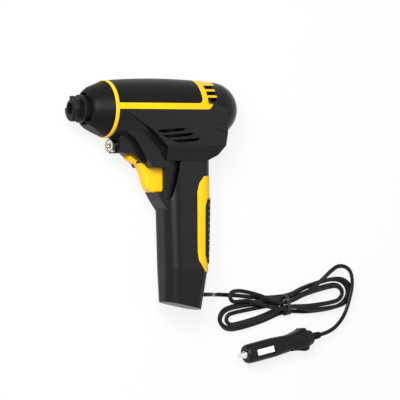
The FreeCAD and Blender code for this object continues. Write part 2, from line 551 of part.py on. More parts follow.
switch_front = at.trigger_rear + at.trigger_travel + 1
spring_start = at.trigger_rear - 6 + 0.1
fixed("trigger_spring", coil_spring(Vector(spring_start, -70, 0), BACK, switch_front - spring_start - 0.1,
                                    2.5, 0.6, 6))
switch = doc.addObject("Part::Box", "trigger_switch")
switch.Label = "trigger_switch"
switch.setExpression("Length", bound("switch_length"))
switch.setExpression("Width", bound("switch_height"))
switch.setExpression("Height", bound("switch_half_width") + " * 2")
switch.Placement = Placement(Vector(switch_front, -77.5, -at.switch_half_width), Rotation())
parts["trigger_switch"] = switch

# Motor: can, end cap, magnets, shaft in two bushes, armature, fan and pinion

turned("motor_can", [
    ("motor_front", "bush_radius + seam_gap"), ("motor_front", "motor_radius"),
    ("motor_front + motor_length", "motor_radius"),
    ("motor_front + motor_length", "motor_radius - motor_wall"),
    ("motor_front + motor_wall", "motor_radius - motor_wall"),
    ("motor_front + motor_wall", "bush_radius + seam_gap")])
turned("motor_end_cap", [
    ("motor_front + motor_length - 3", "bush_radius + seam_gap"),
    ("motor_front + motor_length - 3", "motor_radius - motor_wall - seam_gap"),
    ("motor_front + motor_length + 0.6", "motor_radius - motor_wall - seam_gap"),
    ("motor_front + motor_length + 0.6", "bush_radius + seam_gap")])
bush_front = rod(Vector(at.motor_front - 0.6, 0, 0), BACK, at.bush_length, at.bush_radius)
bush_rear = rod(Vector(at.motor_front + at.motor_length - 2.6, 0, 0), BACK, at.bush_length, at.bush_radius)
shaft_way = rod(Vector(0, 0, 0), BACK, 200, at.shaft_radius + at.running_gap)
fixed("motor_bushes", Part.makeCompound([bush_front.cut(shaft_way), bush_rear.cut(shaft_way)]))
pinion_front = at.gear_rear - at.gear_face - at.pinion_overhang
turned("motor_shaft", [
    ("gear_rear - gear_face - pinion_overhang - 1", "0"),
    ("gear_rear - gear_face - pinion_overhang - 1", "shaft_radius"),
    ("motor_front + motor_length + 1.6", "shaft_radius"), ("motor_front + motor_length + 1.6", "0")])
turned("armature", [
    ("motor_front + 7", "shaft_radius"), ("motor_front + 7", "armature_radius - 2"),
    ("motor_front + 9", "armature_radius"), ("motor_front + 20", "armature_radius"),
    ("motor_front + 22", "armature_radius - 2"), ("motor_front + 22.6", "4.6"),
    ("motor_front + 27.6", "4.6"), ("motor_front + 27.6", "shaft_radius")])
ring_outer = at.motor_radius - at.motor_wall - at.seam_gap
magnet_tube = rod(Vector(at.motor_front + 6, 0, 0), BACK, 18, ring_outer)
magnet_tube = magnet_tube.cut(rod(Vector(at.motor_front + 6, 0, 0), BACK, 18, ring_outer - at.magnet_thickness))
magnet_split = block(0, 200, -FAR, FAR, -5, 5)
fixed("motor_magnets", magnet_tube.cut(magnet_split))
FAN_BLADES = 5
fan = rod(Vector(at.motor_front + 28.2, 0, 0), BACK, 3.2, 5.6)
blade = block(at.motor_front + 28.2, at.motor_front + 31.4, 5.0, at.armature_radius, -0.6, 0.6)
blade.rotate(Vector(at.motor_front + 29.8, 0, 0), UP, 24)
blades = []
for turn in range(FAN_BLADES):
    copy = blade.copy()
    copy.rotate(Vector(), BACK, 360 * turn / FAN_BLADES)
    blades.append(copy)


def involute_point(base, radius, side, middle):
    """A flank's point at the given radius, for a tooth centred on the angle zero."""
    pressure = math.acos(min(1.0, base / radius))
    angle = middle - (math.tan(pressure) - pressure)
    return radius, side * angle


def gear_outline(teeth, phase, x):
    """Spur gear outline in a plane square to the barrel, with stub involute teeth."""
    pitch = at.gear_module * teeth / 2
    base = pitch * math.cos(math.radians(20))
    tip = pitch + at.tooth_rise * at.gear_module
    root = pitch - at.tooth_depth * at.gear_module
    pressure = math.radians(20)
    half_thick = math.pi / (2 * teeth) + math.tan(pressure) - pressure
    low = max(base, root + 0.1)
    radii = [low + (tip - low) * step / 3 for step in range(4)]
    flank = [involute_point(base, radius, 1, half_thick) for radius in radii]
    tooth = [(root, -flank[0][1])] + [(radius, -angle) for radius, angle in flank]
    tooth += [(radius, angle) for radius, angle in reversed(flank)] + [(root, flank[0][1])]
    corners = []
    for number in range(teeth):
        turn = math.radians(phase) + 2 * math.pi * number / teeth
        corners += [Vector(x, radius * math.cos(turn + angle), radius * math.sin(turn + angle))
                    for radius, angle in tooth]
    return Part.Face(Part.makePolygon(corners + corners[:1]))


pinion_teeth = int(at.pinion_teeth)
gear_teeth = int(at.gear_teeth)
pinion = gear_outline(pinion_teeth, 180 + 180 / pinion_teeth, pinion_front)
pinion = pinion.extrude(BACK * (at.gear_face + 2 * at.pinion_overhang))
shaft_hole = rod(Vector(0, 0, 0), BACK, 200, at.shaft_radius)
fixed("pinion", pinion.cut(shaft_hole))
fixed("cooling_fan", joined([fan] + blades).cut(shaft_hole))

gear_front = at.gear_rear - at.gear_face
gear_drop = at.gear_module * (at.pinion_teeth + at.gear_teeth) / 2 + at.centre_slack
gear_hub = Vector(0, -gear_drop, 0)
gear = gear_outline(gear_teeth, 0, gear_front)
gear.translate(gear_hub)
gear = gear.extrude(BACK * at.gear_face)
boss_front = gear_front - at.crank_boss_length
gear = gear.fuse(rod(gear_hub + BACK * boss_front, BACK, at.crank_boss_length + 0.1, at.crank_boss_radius))
axle_tip = boss_front + 2.0
gear = gear.cut(rod(gear_hub + BACK * axle_tip, BACK, 60, at.axle_radius + at.running_gap))
fixed("drive_gear", gear)
frame_front = at.gear_rear + at.seat_gap + 1.0
frame_rear = frame_front + at.frame_thickness
turned("gear_axle", [
    ("gear_rear - gear_face - crank_boss_length + 2.4", "0"),
    ("gear_rear - gear_face - crank_boss_length + 2.4", "axle_radius"),
    ("gear_rear + seat_gap + 1 + frame_thickness", "axle_radius"),
    ("gear_rear + seat_gap + 1 + frame_thickness", "0")], Vector(0, -gear_drop, 0))

# Pump: crank pin in the rod's big end, rod, wrist pin, piston and ring, cylinder, head and reed

pin_height = -gear_drop + at.crank_throw
wrist_height = pin_height + at.rod_length
rod_front = at.pump_axis - at.rod_thickness / 2
rod_rear = at.pump_axis + at.rod_thickness / 2
turned("crank_pin", [
    ("pump_axis - rod_thickness / 2 - 0.6", "0"), ("pump_axis - rod_thickness / 2 - 0.6", "crank_pin_radius"),
    ("gear_rear - gear_face - crank_boss_length - pin_lift", "crank_pin_radius"),
    ("gear_rear - gear_face - crank_boss_length - pin_lift", "0")], Vector(0, pin_height, 0))
big_end = rod(Vector(rod_front, pin_height, 0), BACK, at.rod_thickness, at.crank_pin_radius + 2.4)
small_end = rod(Vector(rod_front, wrist_height, 0), BACK, at.rod_thickness, at.pin_radius + 1.8)
beam = block(rod_front + 0.5, rod_rear - 0.5, pin_height, wrist_height, -at.rod_width / 2, at.rod_width / 2)
pin_hole = rod(Vector(0, pin_height, 0), BACK, 200, at.crank_pin_radius)
wrist_hole = rod(Vector(0, wrist_height, 0), BACK, 200, at.pin_radius + at.running_gap)
fixed("connecting_rod", joined([big_end, small_end, beam]).cut(pin_hole).cut(wrist_hole))

piston_radius = at.bore_radius - at.piston_gap
crown = wrist_height + at.piston_crown
skirt = crown - at.piston_length
piston = rod(Vector(at.pump_axis, skirt, 0), UP, at.piston_length, piston_radius)
piston = piston.cut(block(rod_front - 0.5, rod_rear + 0.5, skirt - 1, wrist_height + 4.4, -FAR, FAR))
ring_low = crown - 2.6
ring_groove = rod(Vector(at.pump_axis, ring_low, 0), UP, 1.4, FAR)
ring_groove = ring_groove.cut(rod(Vector(at.pump_axis, ring_low, 0), UP, 1.4, piston_radius - 1.4))
pin_seat = rod(Vector(0, wrist_height, 0), BACK, 200, at.pin_radius)
fixed("piston", piston.cut(ring_groove).cut(pin_seat))
piston_ring = rod(Vector(at.pump_axis, ring_low, 0), UP, 1.4, at.bore_radius - at.piston_gap / 3)
fixed("piston_ring", piston_ring.cut(rod(Vector(at.pump_axis, ring_low, 0), UP, 1.4, piston_radius - 1.4)))
turned("wrist_pin", [
    ("pump_axis - bore_radius + 1.6", "0"), ("pump_axis - bore_radius + 1.6", "pin_radius"),
    ("pump_axis + bore_radius - 1.6", "pin_radius"), ("pump_axis + bore_radius - 1.6", "0")],
    Vector(0, wrist_height, 0))

cylinder_top = crown + at.head_gap
cylinder_foot = -at.cylinder_foot_drop
cylinder_radius = at.bore_radius + at.cylinder_wall
head_low = at.pump_axis - at.head_half_width
head_high = at.pump_axis + at.head_half_width
cylinder = rod(Vector(at.pump_axis, cylinder_foot, 0), UP, cylinder_top - cylinder_foot, cylinder_radius)
flange = block(head_low, head_high, cylinder_top - at.flange_thickness, cylinder_top,
               -at.head_half_width, at.head_half_width)
bore = rod(Vector(at.pump_axis, -FAR, 0), UP, 2 * FAR, at.bore_radius)
screw_offset = at.head_half_width - 2.6
pump_screw_places = [Vector(at.pump_axis + i * screw_offset, 0, k * screw_offset)
                     for i in (-1, 1) for k in (-1, 1)]
screw_ways = [rod(place - UP * FAR, UP, 2 * FAR, at.pump_screw_radius + at.screw_gap)
              for place in pump_screw_places]
screw_ways = Part.makeCompound(screw_ways)
fixed("cylinder", cylinder.fuse(flange).cut(bore).cut(screw_ways))
head = block(head_low, head_high, cylinder_top, cylinder_top + at.head_height,
             -at.head_half_width, at.head_half_width)
head = head.makeFillet(1.6, [edge for edge in head.Edges if edge.CenterOfMass.y > cylinder_top + 0.1])
head_port = cylinder_top + at.head_height - 3.4
reed_pocket = rod(Vector(at.pump_axis, cylinder_top, 0), UP, 2.4, 4.6)
port_way = rod(Vector(head_low - 2, head_port, 0), BACK, at.head_half_width + 2, 1.5)
lift_way = rod(Vector(at.pump_axis, cylinder_top, 0), UP, at.head_height - 3.4, 1.5)
tube_seat = rod(Vector(head_low - 1, head_port, 0), BACK, 5, 2.6)
head = head.cut(reed_pocket).cut(port_way).cut(lift_way).cut(tube_seat).cut(screw_ways)
fixed("cylinder_head", head)
turned("reed_valve", [("0", "0"), ("0", "4.5"), ("0.5", "4.5"), ("0.5", "0")],
       Vector(at.pump_axis, cylinder_top + 1.8, 0), Rotation(BACK, UP))
pump_screws = []
for place in pump_screw_places:
    head_top = place + UP * (cylinder_top + at.head_height)
    shank_start = cylinder_top - at.flange_thickness - 6
    shank = rod(place + UP * shank_start, UP, at.head_height + at.flange_thickness + 6, at.pump_screw_radius)
    pump_screws.append(shank.fuse(rod(head_top, UP, 1.6, 2.4)))
fixed("pump_screws", Part.makeCompound(pump_screws))

# Pump frame: a plate behind the gear that carries the motor, with arms under the cylinder's flange

plate = block(frame_front, frame_rear, -gear_drop - 6, 13, -at.head_half_width, at.head_half_width)
ears = rod(Vector(frame_front, 0, 0), BACK, at.frame_thickness, at.frame_ear_radius)
ears = ears.common(block(0, 200, -9, 9, -FAR, FAR))
arm_top = cylinder_top - at.flange_thickness
arm_inner = at.head_half_width - at.arm_thickness
arms = [block(head_low, frame_front + 0.1, -3, arm_top, arm_low, arm_low + at.arm_thickness)
        for arm_low in (-at.head_half_width, arm_inner)]
screw_blocks = [rod(place - UP * 3, UP, arm_top + 3, 2.5) for place in pump_screw_places]
frame = joined([plate, ears] + arms + screw_blocks)
frame = frame.cut(rod(Vector(frame_front - 1, 0, 0), BACK, 10, at.bush_radius + 4))
frame = frame.cut(rod(gear_hub, BACK, 200, at.axle_radius))
frame = frame.cut(screw_ways).cut(rod(Vector(at.pump_axis, -FAR, 0), UP, 2 * FAR, cylinder_radius + 0.1))
fixed("pump_frame", frame)

# Air tube from the head to the valve cap, and the circuit board under it


def bent_path(points):
    """Straight runs joined by tangent arcs, each as large as its two runs allow; prints the radii."""
    edges, radii = [], []
    last = points[0]
    for before, corner, after in zip(points, points[1:], points[2:]):
        arrive = corner - before
        leave = after - corner
        half_turn = arrive.getAngle(leave) / 2
        shorter = min(arrive.Length, leave.Length)
        setback = 0.45 * shorter
        radii.append(setback / math.tan(half_turn))
        arrive.normalize()
        leave.normalize()
        start = corner - arrive * setback
        finish = corner + leave * setback
        inward = leave - arrive
        inward.normalize()
        depth = radii[-1] / math.cos(half_turn) - radii[-1]
        edges.append(Part.LineSegment(last, start).toShape())
        edges.append(Part.Arc(start, corner + inward * depth, finish).toShape())
        last = finish
    edges.append(Part.LineSegment(last, points[-1]).toShape())
    print("bend radii", [round(radius, 1) for radius in radii])
    return Part.Wire(edges)


def tube_along(path, radius):
    """A round tube along a path; its volume is set against section times length."""
    start = path.OrderedEdges[0]
    way = start.tangentAt(start.FirstParameter)
    origin = start.valueAt(start.FirstParameter)
    circle = Part.Wire([Part.Circle(origin, way, radius).toShape()])
    tube = path.makePipeShell([circle], True, False)
    expected = math.pi * radius ** 2 * path.Length
    print("tube", round(path.Length, 1), "mm, volume ratio", round(tube.Volume / expected, 4))
    return tube


port_start = Vector(head_low + 4, head_port, 0)
tube_path = bent_path([port_start, Vector(head_low - 9, head_port, 0), Vector(34, 16, 0), Vector(18, 5, 0),
                       Vector(9, 0, 0), Vector(at.outlet_tail + 1.5, 0, 0)])
air_tube = tube_along(tube_path, at.tube_radius).cut(tube_along(tube_path, at.tube_radius - at.tube_wall))
fixed("air_tube", air_tube)
turned("valve_cap", [
    ("outlet_tail - valve_cap_depth", "tube_radius - tube_wall"),
    ("outlet_tail - valve_cap_depth", "valve_chamber_radius - seam_gap"),
    ("outlet_tail", "valve_chamber_radius - seam_gap"), ("outlet_tail", "valve_chamber_radius + 2.4"),
    ("outlet_tail + 1.5", "valve_chamber_radius + 2.4"), ("outlet_tail + 1.5", "tube_radius - tube_wall")])
board = doc.addObject("Part::Box", "circuit_board")
board.Label = "circuit_board"
board.setExpression("Length", bound("board_length"))
board.setExpression("Width", bound("board_thickness"))
board.setExpression("Height", bound("board_width"))
board.Placement = Placement(Vector(10, SCREWS[0][1] + at.boss_radius + at.seam_gap, -at.board_width / 2), Rotation())
parts["circuit_board"] = board

# Screws, lead bush and clamp

screws = []
for x, y in SCREWS:
    seat = Vector(x, y, -at.screw_depth - at.screw_head_length)
    screws.append(rod(seat, LEFT, at.screw_length, at.screw_radius)
                  .fuse(rod(seat, -LEFT, at.screw_head_length, at.screw_head_radius)))
fixed("casing_screws", Part.makeCompound(screws))
bush_inner = at.lead_diameter / 2 + at.seam_gap
bush = rod(Vector(exit_face - at.wall - 2.5, -at.exit_drop, 0), BACK, at.wall + 5.0, bush_hole - at.seam_gap)
bush = bush.fuse(rod(Vector(exit_face + 0.85, -at.exit_drop, 0), BACK, 1.65, bush_hole + 0.9))
bush = bush.fuse(rod(Vector(exit_face - at.wall - 2.5, -at.exit_drop, 0), BACK, 1.6, bush_hole + 0.9))
lead_way = rod(Vector(60, -at.exit_drop, 0), BACK, 100, bush_inner)
fixed("cord_bush", bush.cut(lead_way))
clamp = block(exit_axis - at.clamp_length / 2, exit_axis + at.clamp_length / 2,
              -at.exit_drop - at.clamp_low, -at.exit_drop + at.clamp_high,
              -at.clamp_width / 2, at.clamp_width / 2)
clamp_boss = rod(Vector(SCREWS[-1][0], SCREWS[-1][1], -FAR), LEFT, 2 * FAR, at.boss_radius + at.screw_gap)
fixed("cable_clamp", clamp.cut(lead_way).cut(clamp_boss))

# Resting pose: the tool rolls about the barrel until its yellow strip and its crease share the table

strip_radius = at.barrel_mid_radius + at.trim_proud
crease_reach = math.hypot(at.crease_drop, at.cheek_half_width)
crease_angle = math.degrees(math.atan2(at.crease_drop, at.cheek_half_width))
roll = crease_angle - math.degrees(math.acos(min(1.0, strip_radius / crease_reach)))
axis_height = strip_radius
print("roll", round(roll, 3), "axis height", round(axis_height, 2))
resting = Placement(Vector(0, 0, axis_height), Rotation(BACK, roll))

# Twelve volt plug, drawn along its own axis and laid on the table

PLUG_TIP = Vector(173.5, -260.6, 0)
plug_height = at.plug_radius + at.contact_proud
plug_frame = Placement(PLUG_TIP + LEFT * plug_height, Rotation(LEFT, at.plug_heading))
ring_end = at.plug_ring_start + at.plug_ring_length
cavity = rod(Vector(ring_end - 1, 0, 0), BACK, at.plug_waist_at - ring_end, at.plug_cavity_radius)


def plug_side_outline():
    """The plug seen from above, from the nose ring to the rear collar, one side."""
    return [(ring_end, at.plug_radius), (at.plug_waist_at - 22, at.plug_radius),
            (at.plug_waist_at, at.plug_waist_radius), (at.plug_ear_at - 4, at.plug_ear_reach - 1.6),
            (at.plug_ear_at, at.plug_ear_reach), (at.plug_ear_at + 5, at.plug_ear_reach - 0.6),
            (at.plug_ear_at + 6, at.plug_rear_radius + 2.0), (at.plug_rear, at.plug_rear_radius)]


above = plug_side_outline()
plan = slab(above + [(x, -y) for x, y in reversed(above)])
turned_outline = [Vector(ring_end, 0, 0)] + [
    Vector(x, min(radius, at.plug_radius), 0) for x, radius in plug_side_outline()
] + [Vector(at.plug_rear, 0, 0)]
core = Part.Face(Part.makePolygon(turned_outline + turned_outline[:1])).revolve(Vector(), BACK, 360)
ears = block(at.plug_ear_at - 16, at.plug_ear_at + 6, -FAR, FAR, -4.6, 4.6).common(plan)
window_floor = at.plug_radius - at.contact_thickness - at.contact_travel - at.seat_gap
windows = block(at.contact_start - 0.5, at.contact_start + at.contact_length + 0.5,
                -at.contact_width / 2 - at.slide_gap, at.contact_width / 2 + at.slide_gap, -FAR, FAR)
windows = windows.cut(block(0, at.plug_rear, -FAR, FAR, -window_floor, window_floor))
relief_seat = rod(Vector(at.plug_rear - 4, 0, 0), BACK, 40, at.relief_radius - 0.6)
plug_body = core.fuse(ears).cut(cavity).cut(windows).cut(relief_seat)
fixed("plug_body", plug_body, loose)
turned("plug_ring", [
    ("plug_ring_start", "plug_tip_radius + 0.1"), ("plug_ring_start", "plug_ring_front_radius"),
    ("plug_ring_start + 2.2", "plug_radius - 0.3"),
    ("plug_ring_start + plug_ring_length", "plug_radius - 0.1"),
    ("plug_ring_start + plug_ring_length", "plug_tip_radius + 0.1")], store=loose)
turned("plug_tip", [
    ("0", "0"), ("0", "plug_tip_nose_radius - 1"), ("1", "plug_tip_nose_radius"),
    ("3.4", "plug_tip_nose_radius + 0.2"), ("plug_ring_start - 1", "plug_tip_radius - 0.2"),
    ("plug_ring_start", "plug_tip_radius"), ("plug_ring_start + 7", "plug_tip_radius"),
    ("plug_ring_start + 7", "0")], store=loose)
spring_from = at.plug_ring_start + 7.1
fuse_from = spring_from + at.plug_tip_travel + at.packed_spring
fixed("plug_tip_spring", coil_spring(Vector(spring_from, 0, 0), BACK, fuse_from - spring_from - 0.1,
                                     2.8, 0.7, 4), loose)
turned("plug_fuse", [
    ("plug_ring_start + 7.1 + plug_tip_travel + packed_spring", "0"),
    ("plug_ring_start + 7.1 + plug_tip_travel + packed_spring", "3"),
    ("plug_waist_at - 2", "3"), ("plug_waist_at - 2", "0")], store=loose)
for side, label in ((1, "plug_contact_upper"), (-1, "plug_contact_lower")):
    outer_face = side * (at.plug_radius + at.contact_proud)
    strip = block(at.contact_start, at.contact_start + at.contact_length, -at.contact_width / 2,
                  at.contact_width / 2, -at.contact_thickness, 0)
    ramp = strip.makeChamfer(0.6, [edge for edge in strip.Edges
                                   if abs(edge.CenterOfMass.z) < 0.01 and edge.Length < 10])
    ramp.Placement = Placement(Vector(0, 0, outer_face), Rotation(BACK, 0 if side > 0 else 180))
    fixed(label, ramp, loose)
relief_points = [Vector(at.plug_rear - 4, 0, 0), Vector(at.plug_rear - 4, at.relief_radius - 0.65, 0)]
relief_end = at.plug_rear + at.relief_length
relief_ribs = int(at.relief_length / at.relief_rib_pitch)
relief_points.append(Vector(at.plug_rear + 0.05, at.relief_radius - 0.65, 0))
for rib in range(relief_ribs):
    x = at.plug_rear + 0.05 + rib * at.relief_rib_pitch
    shrink = 0.9 * rib / relief_ribs
    relief_points += [Vector(x, at.relief_radius - shrink, 0),
                      Vector(x + at.relief_rib_pitch * 0.55, at.relief_radius - shrink, 0),
                      Vector(x + at.relief_rib_pitch * 0.55, at.relief_radius - 1.3 - shrink, 0),
                      Vector(x + at.relief_rib_pitch, at.relief_radius - 1.3 - shrink, 0)]
relief_points += [Vector(relief_end, relief_points[-1].y, 0), Vector(relief_end, 0, 0)]
relief = Part.Face(Part.makePolygon(relief_points + relief_points[:1])).revolve(Vector(), BACK, 360)
fixed("plug_strain_relief", relief, loose)
for item in loose.values():
    item.Placement = plug_frame.multiply(item.Placement)
plug_end = plug_frame.multVec(Vector(relief_end, 0, 0))
plug_way = plug_frame.Rotation.multVec(BACK)

# Power lead: down from the handle's bush to the table, through the tied hank, and on to the plug

tube_height = at.lead_diameter / 2 + 0.2
strand_step = at.lead_diameter + at.strand_gap
WAIST = Vector(233.1, -206.4, 0)
hank_frame = Placement(WAIST, Rotation(LEFT, at.hank_heading))
RISE = at.lead_diameter + at.layer_gap

# Each end loop: side, reach, start slot, end slot, swell at its start and end, start layer, end layer
END_LOOPS = [
    (1, 84, 1.5, -1.5, 16.5, -15.5, 0, 0),
    (-1, 79, -1.5, 0.5, -15.0, 9.0, 0, 0),
    (1, 77, 0.5, -0.5, 10.5, -9.5, 0, 0),
    (-1, 71, -0.5, 0.5, -9.6, 3.4, 0, 1),
    (1, 74, 0.5, -0.5, 9.0, -8.5, 1, 1),
    (-1, 82, -0.5, 1.5, -12.5, 11.0, 1, 1),
    (1, 86, 1.5, -0.5, 17.0, -14.5, 1, 2),
]
LAST_LOOP = [(-28, 4.6, 2.1), (-44, 13.6, 2.1), (-58, 15.2, 1.9), (-63.2, 16.7, 1.7), (-65.4, 20.4, 1.5),
             (-63.2, 24.1, 1.3), (-58, 25.6, 1.2), (-44, 22.6, 1.5), (-28, 15.0, 2.1)]


def layer_height(layer):
    return tube_height + RISE * layer


def hank_points():
    """Points of the hank's centreline in its own frame: a waist pass, then an end loop, and so on."""
    points = [Vector(-70, 24.3, tube_height), Vector(-50, 19.6, tube_height), Vector(-28, 12.6, tube_height)]
    for side, reach, start, end, swell, swell_end, layer, layer_end in END_LOOPS:
        low, high = layer_height(layer), layer_height(layer_end)
        middle, half = (swell + swell_end) / 2, (swell - swell_end) / 2
        near = reach - at.end_length * abs(half)
        begin, finish = start * strand_step, end * strand_step
        points.append(Vector(side * at.waist_reach, begin, low + at.waist_lift))
        points.append(Vector(side * 28, begin + 0.68 * (swell - begin), low + 0.4))
        for turn in (90, 45, 0, -45, -90):
            across = middle + half * math.sin(math.radians(turn))
            along = near + (reach - near) * math.cos(math.radians(turn))
            points.append(Vector(side * along, across, low if turn > -90 else low + 0.3 * (high - low)))
        points.append(Vector(side * 28, finish + 0.68 * (swell_end - finish), high + 0.4))
        points.append(Vector(side * at.waist_reach, finish, high + at.waist_lift))
    for along, across, layer in LAST_LOOP:
        if along == -28 and across < 10:
            points.append(Vector(-at.waist_reach, -0.5 * strand_step, layer_height(2) + at.waist_lift))
        points.append(Vector(along, across, layer_height(layer)))
    points.append(Vector(-at.waist_reach, 0.5 * strand_step, layer_height(2) + at.waist_lift))
    points.append(Vector(at.waist_reach, 0.6 * strand_step, layer_height(2) + at.waist_lift))
    points.append(Vector(28, 8.5, layer_height(2) + 0.5))
    points.append(Vector(49, 18.2, layer_height(2)))
    return points


def smooth_tangents(points, first, last):
    tangents = [first]
    for before, point, after in zip(points, points[1:], points[2:]):
        arrive, leave = point - before, after - point
        way = arrive * (1 / arrive.Length ** 2) + leave * (1 / leave.Length ** 2)
        tangents.append(way.normalize())
    return tangents + [last]


def biarc(start, start_way, end, end_way):
    """Two tangent arcs between two points with given directions."""
    gap = end - start
    ways = start_way + end_way
    a = 2 * (1 - start_way.dot(end_way))
    b = 2 * gap.dot(ways)
    c = -gap.dot(gap)
    reach = -c / b if abs(a) < 1e-9 else (-b + math.sqrt(b * b - 4 * a * c)) / (2 * a)
    first_corner = start + start_way * reach
    last_corner = end - end_way * reach
    joint = (first_corner + last_corner) * 0.5
    arcs = []
    for one, corner, other in ((start, first_corner, joint), (joint, last_corner, end)):
        chord_mid = (one + other) * 0.5
        sagitta_way = corner - chord_mid
        if sagitta_way.Length < 1e-5:
            arcs.append(Part.LineSegment(one, other).toShape())
            continue
        half = (other - one).Length / 2
        height = sagitta_way.Length
        leg = math.hypot(half, height)
        rise = half * (leg - half) / height
        arcs.append(Part.Arc(one, chord_mid + sagitta_way * (rise / height), other).toShape())
    return arcs


def least_gap(path, diameter):
    """Smallest free distance between stretches of the tube that aren't neighbours along it."""
    step = 1.5
    points = path.discretize(Distance=step)
    skip = int(4 * diameter / step)
    worst = 1e9
    for i, point in enumerate(points):
        for other in points[i + skip:]:
            worst = min(worst, point.distanceToPoint(other))
    return worst - diameter


table_points = [hank_frame.multVec(point) for point in hank_points()]
first_way = table_points[1] - table_points[0]
last_way = hank_frame.Rotation.multVec(Vector(1, 0.62, 0))
tangents = smooth_tangents(table_points, first_way.normalize(), last_way.normalize())
hank_edges = []
for i in range(len(table_points) - 1):
    hank_edges += biarc(table_points[i], tangents[i], table_points[i + 1], tangents[i + 1])
hank_path = Part.Wire(hank_edges)
arc_radii = [edge.Curve.Radius for edge in hank_edges if hasattr(edge.Curve, "Radius")]
print("hank length", round(hank_path.Length), "tightest arc", round(min(arc_radii), 1),
      "least gap", round(least_gap(hank_path, at.lead_diameter), 2))
fixed("lead_hank", tube_along(hank_path, at.lead_diameter / 2), loose)

hank_start, start_way = table_points[0], tangents[0]
exit_height = axis_height - at.exit_drop * math.sin(math.radians(roll))
exit_across = -at.exit_drop * math.cos(math.radians(roll))
lead_points = [Vector(exit_axis - 6, exit_across, exit_height), Vector(exit_face + 11, exit_across, exit_height),
               Vector(exit_face + 24, exit_across - 0.3, exit_height - 13),
               Vector(exit_face + 34, exit_across - 0.9, tube_height + 3.5),
               hank_start - start_way * 7, hank_start]
fixed("lead_run", tube_along(bent_path(lead_points), at.lead_diameter / 2), loose)
tail_start, tail_way = table_points[-1], tangents[-1]
high_turn = layer_height(2)
tail_points = [tail_start, tail_start + tail_way * 12, Vector(300.0, -163.8, high_turn - 2),
               Vector(313.5, -168.5, high_turn - 0.5), Vector(316.0, -184, high_turn + 0.3),
               Vector(311.8, -202, high_turn), Vector(304.5, -220, plug_height + 0.8),
               plug_end + plug_way * 13, plug_end]
fixed("lead_tail", tube_along(bent_path(tail_points), at.lead_diameter / 2), loose)

# Tie round the waist of the hank, over the table

high = layer_height(2) + at.waist_lift + at.lead_diameter / 2 + 0.3
side_reach = 1.5 * strand_step + at.lead_diameter / 2 + 0.3
shoulder = layer_height(1) + at.waist_lift + at.lead_diameter / 2 + 0.2
tie_section = [(-side_reach, at.waist_lift), (side_reach, at.waist_lift), (side_reach, shoulder),
               (0.55 * side_reach, high), (-0.55 * side_reach, high), (-side_reach, shoulder - 3)]
tie_corners = [Vector(-at.tie_width / 2, y, z) for y, z in tie_section]
tie_wire = Part.makePolygon(tie_corners + tie_corners[:1])
tie_outer = tie_wire.makeOffset2D(at.tie_thickness)
tie = Part.Face(tie_outer).cut(Part.Face(tie_wire))
tie = tie.extrude(BACK * at.tie_width)
tie.Placement = hank_frame.multiply(tie.Placement)
fixed("hank_tie", tie, loose)

# Every piece is checked, laid on the table, centred and written out

doc.recompute()
for item in doc.Objects:
    if "Invalid" in item.State or "Error" in item.State:
        raise RuntimeError(f"{item.Label} failed: {item.State}")
for item in parts.values():
    item.Placement = resting.multiply(item.Placement)
doc.recompute()
tool_box = FreeCAD.BoundBox()
for item in parts.values():
    for vertex in item.Shape.tessellate(0.05)[0]:
        tool_box.add(vertex)
to_centre = Placement(Vector(-tool_box.Center.x, -tool_box.Center.y, -tool_box.ZMin), Rotation())
print("tool box", tool_box, "shift", to_centre.Base)
every_piece = {**parts, **loose}
for item in every_piece.values():
    item.Placement = to_centre.multiply(item.Placement)
doc.recompute()

os.makedirs("parts", exist_ok=True)
for label, item in every_piece.items():
    shape = item.Shape
    if shape.isNull() or not shape.isValid() or not shape.Solids:
        raise RuntimeError(f"{label} has no valid shape")
    shape.exportStep(f"parts/{label}.step")
print(len(every_piece), "pieces")
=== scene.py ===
"""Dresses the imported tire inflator: finishes, power lead, tie, screws, return springs, table and lights."""
import math

import bmesh
import bpy
from bpy.props import FloatProperty, FloatVectorProperty, IntProperty, PointerProperty
from mathutils import Matrix, Vector


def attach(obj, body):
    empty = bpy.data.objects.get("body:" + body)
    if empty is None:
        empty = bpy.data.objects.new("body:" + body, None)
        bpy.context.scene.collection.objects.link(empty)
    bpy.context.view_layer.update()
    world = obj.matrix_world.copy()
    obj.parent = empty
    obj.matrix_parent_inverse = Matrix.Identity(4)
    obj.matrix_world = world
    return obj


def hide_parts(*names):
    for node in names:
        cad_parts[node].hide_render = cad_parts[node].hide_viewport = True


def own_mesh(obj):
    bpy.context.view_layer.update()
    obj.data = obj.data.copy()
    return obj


bl_info = {
    "name": "Tire inflator dressing",
    "version": (1, 0, 0),
    "blender": (4, 5, 0),
    "location": "3D View > Sidebar > Inflator",
    "description": "Finishes, power lead, tie, screws, lamp and table of a portable tire inflator",
    "category": "Object",
}

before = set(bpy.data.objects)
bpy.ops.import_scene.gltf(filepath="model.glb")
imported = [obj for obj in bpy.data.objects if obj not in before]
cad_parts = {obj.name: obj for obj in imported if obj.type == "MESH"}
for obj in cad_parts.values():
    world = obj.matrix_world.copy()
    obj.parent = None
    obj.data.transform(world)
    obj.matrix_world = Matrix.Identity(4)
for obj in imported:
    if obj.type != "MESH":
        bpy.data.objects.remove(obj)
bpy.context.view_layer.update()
MM = 0.001

# Row frame: -X out of the air outlet, +Y from the handle's end to the barrel, +Z up from the table
BARREL_AXIS = Vector((-56.95, 88.81, 32.692)) * MM
ROLL = math.radians(-0.526)
HANK_CENTRE = Vector((176.15, -117.59, 0.042)) * MM
HANK_HEADING = math.radians(10.3)


def tool_point(x, y, z):
    """A point given in millimetres from the ring's plane and the barrel's axis, in the row frame."""
    return BARREL_AXIS + Matrix.Rotation(ROLL, 3, "X") @ (Vector((x, y, z)) * MM)


# Settings that a user would change

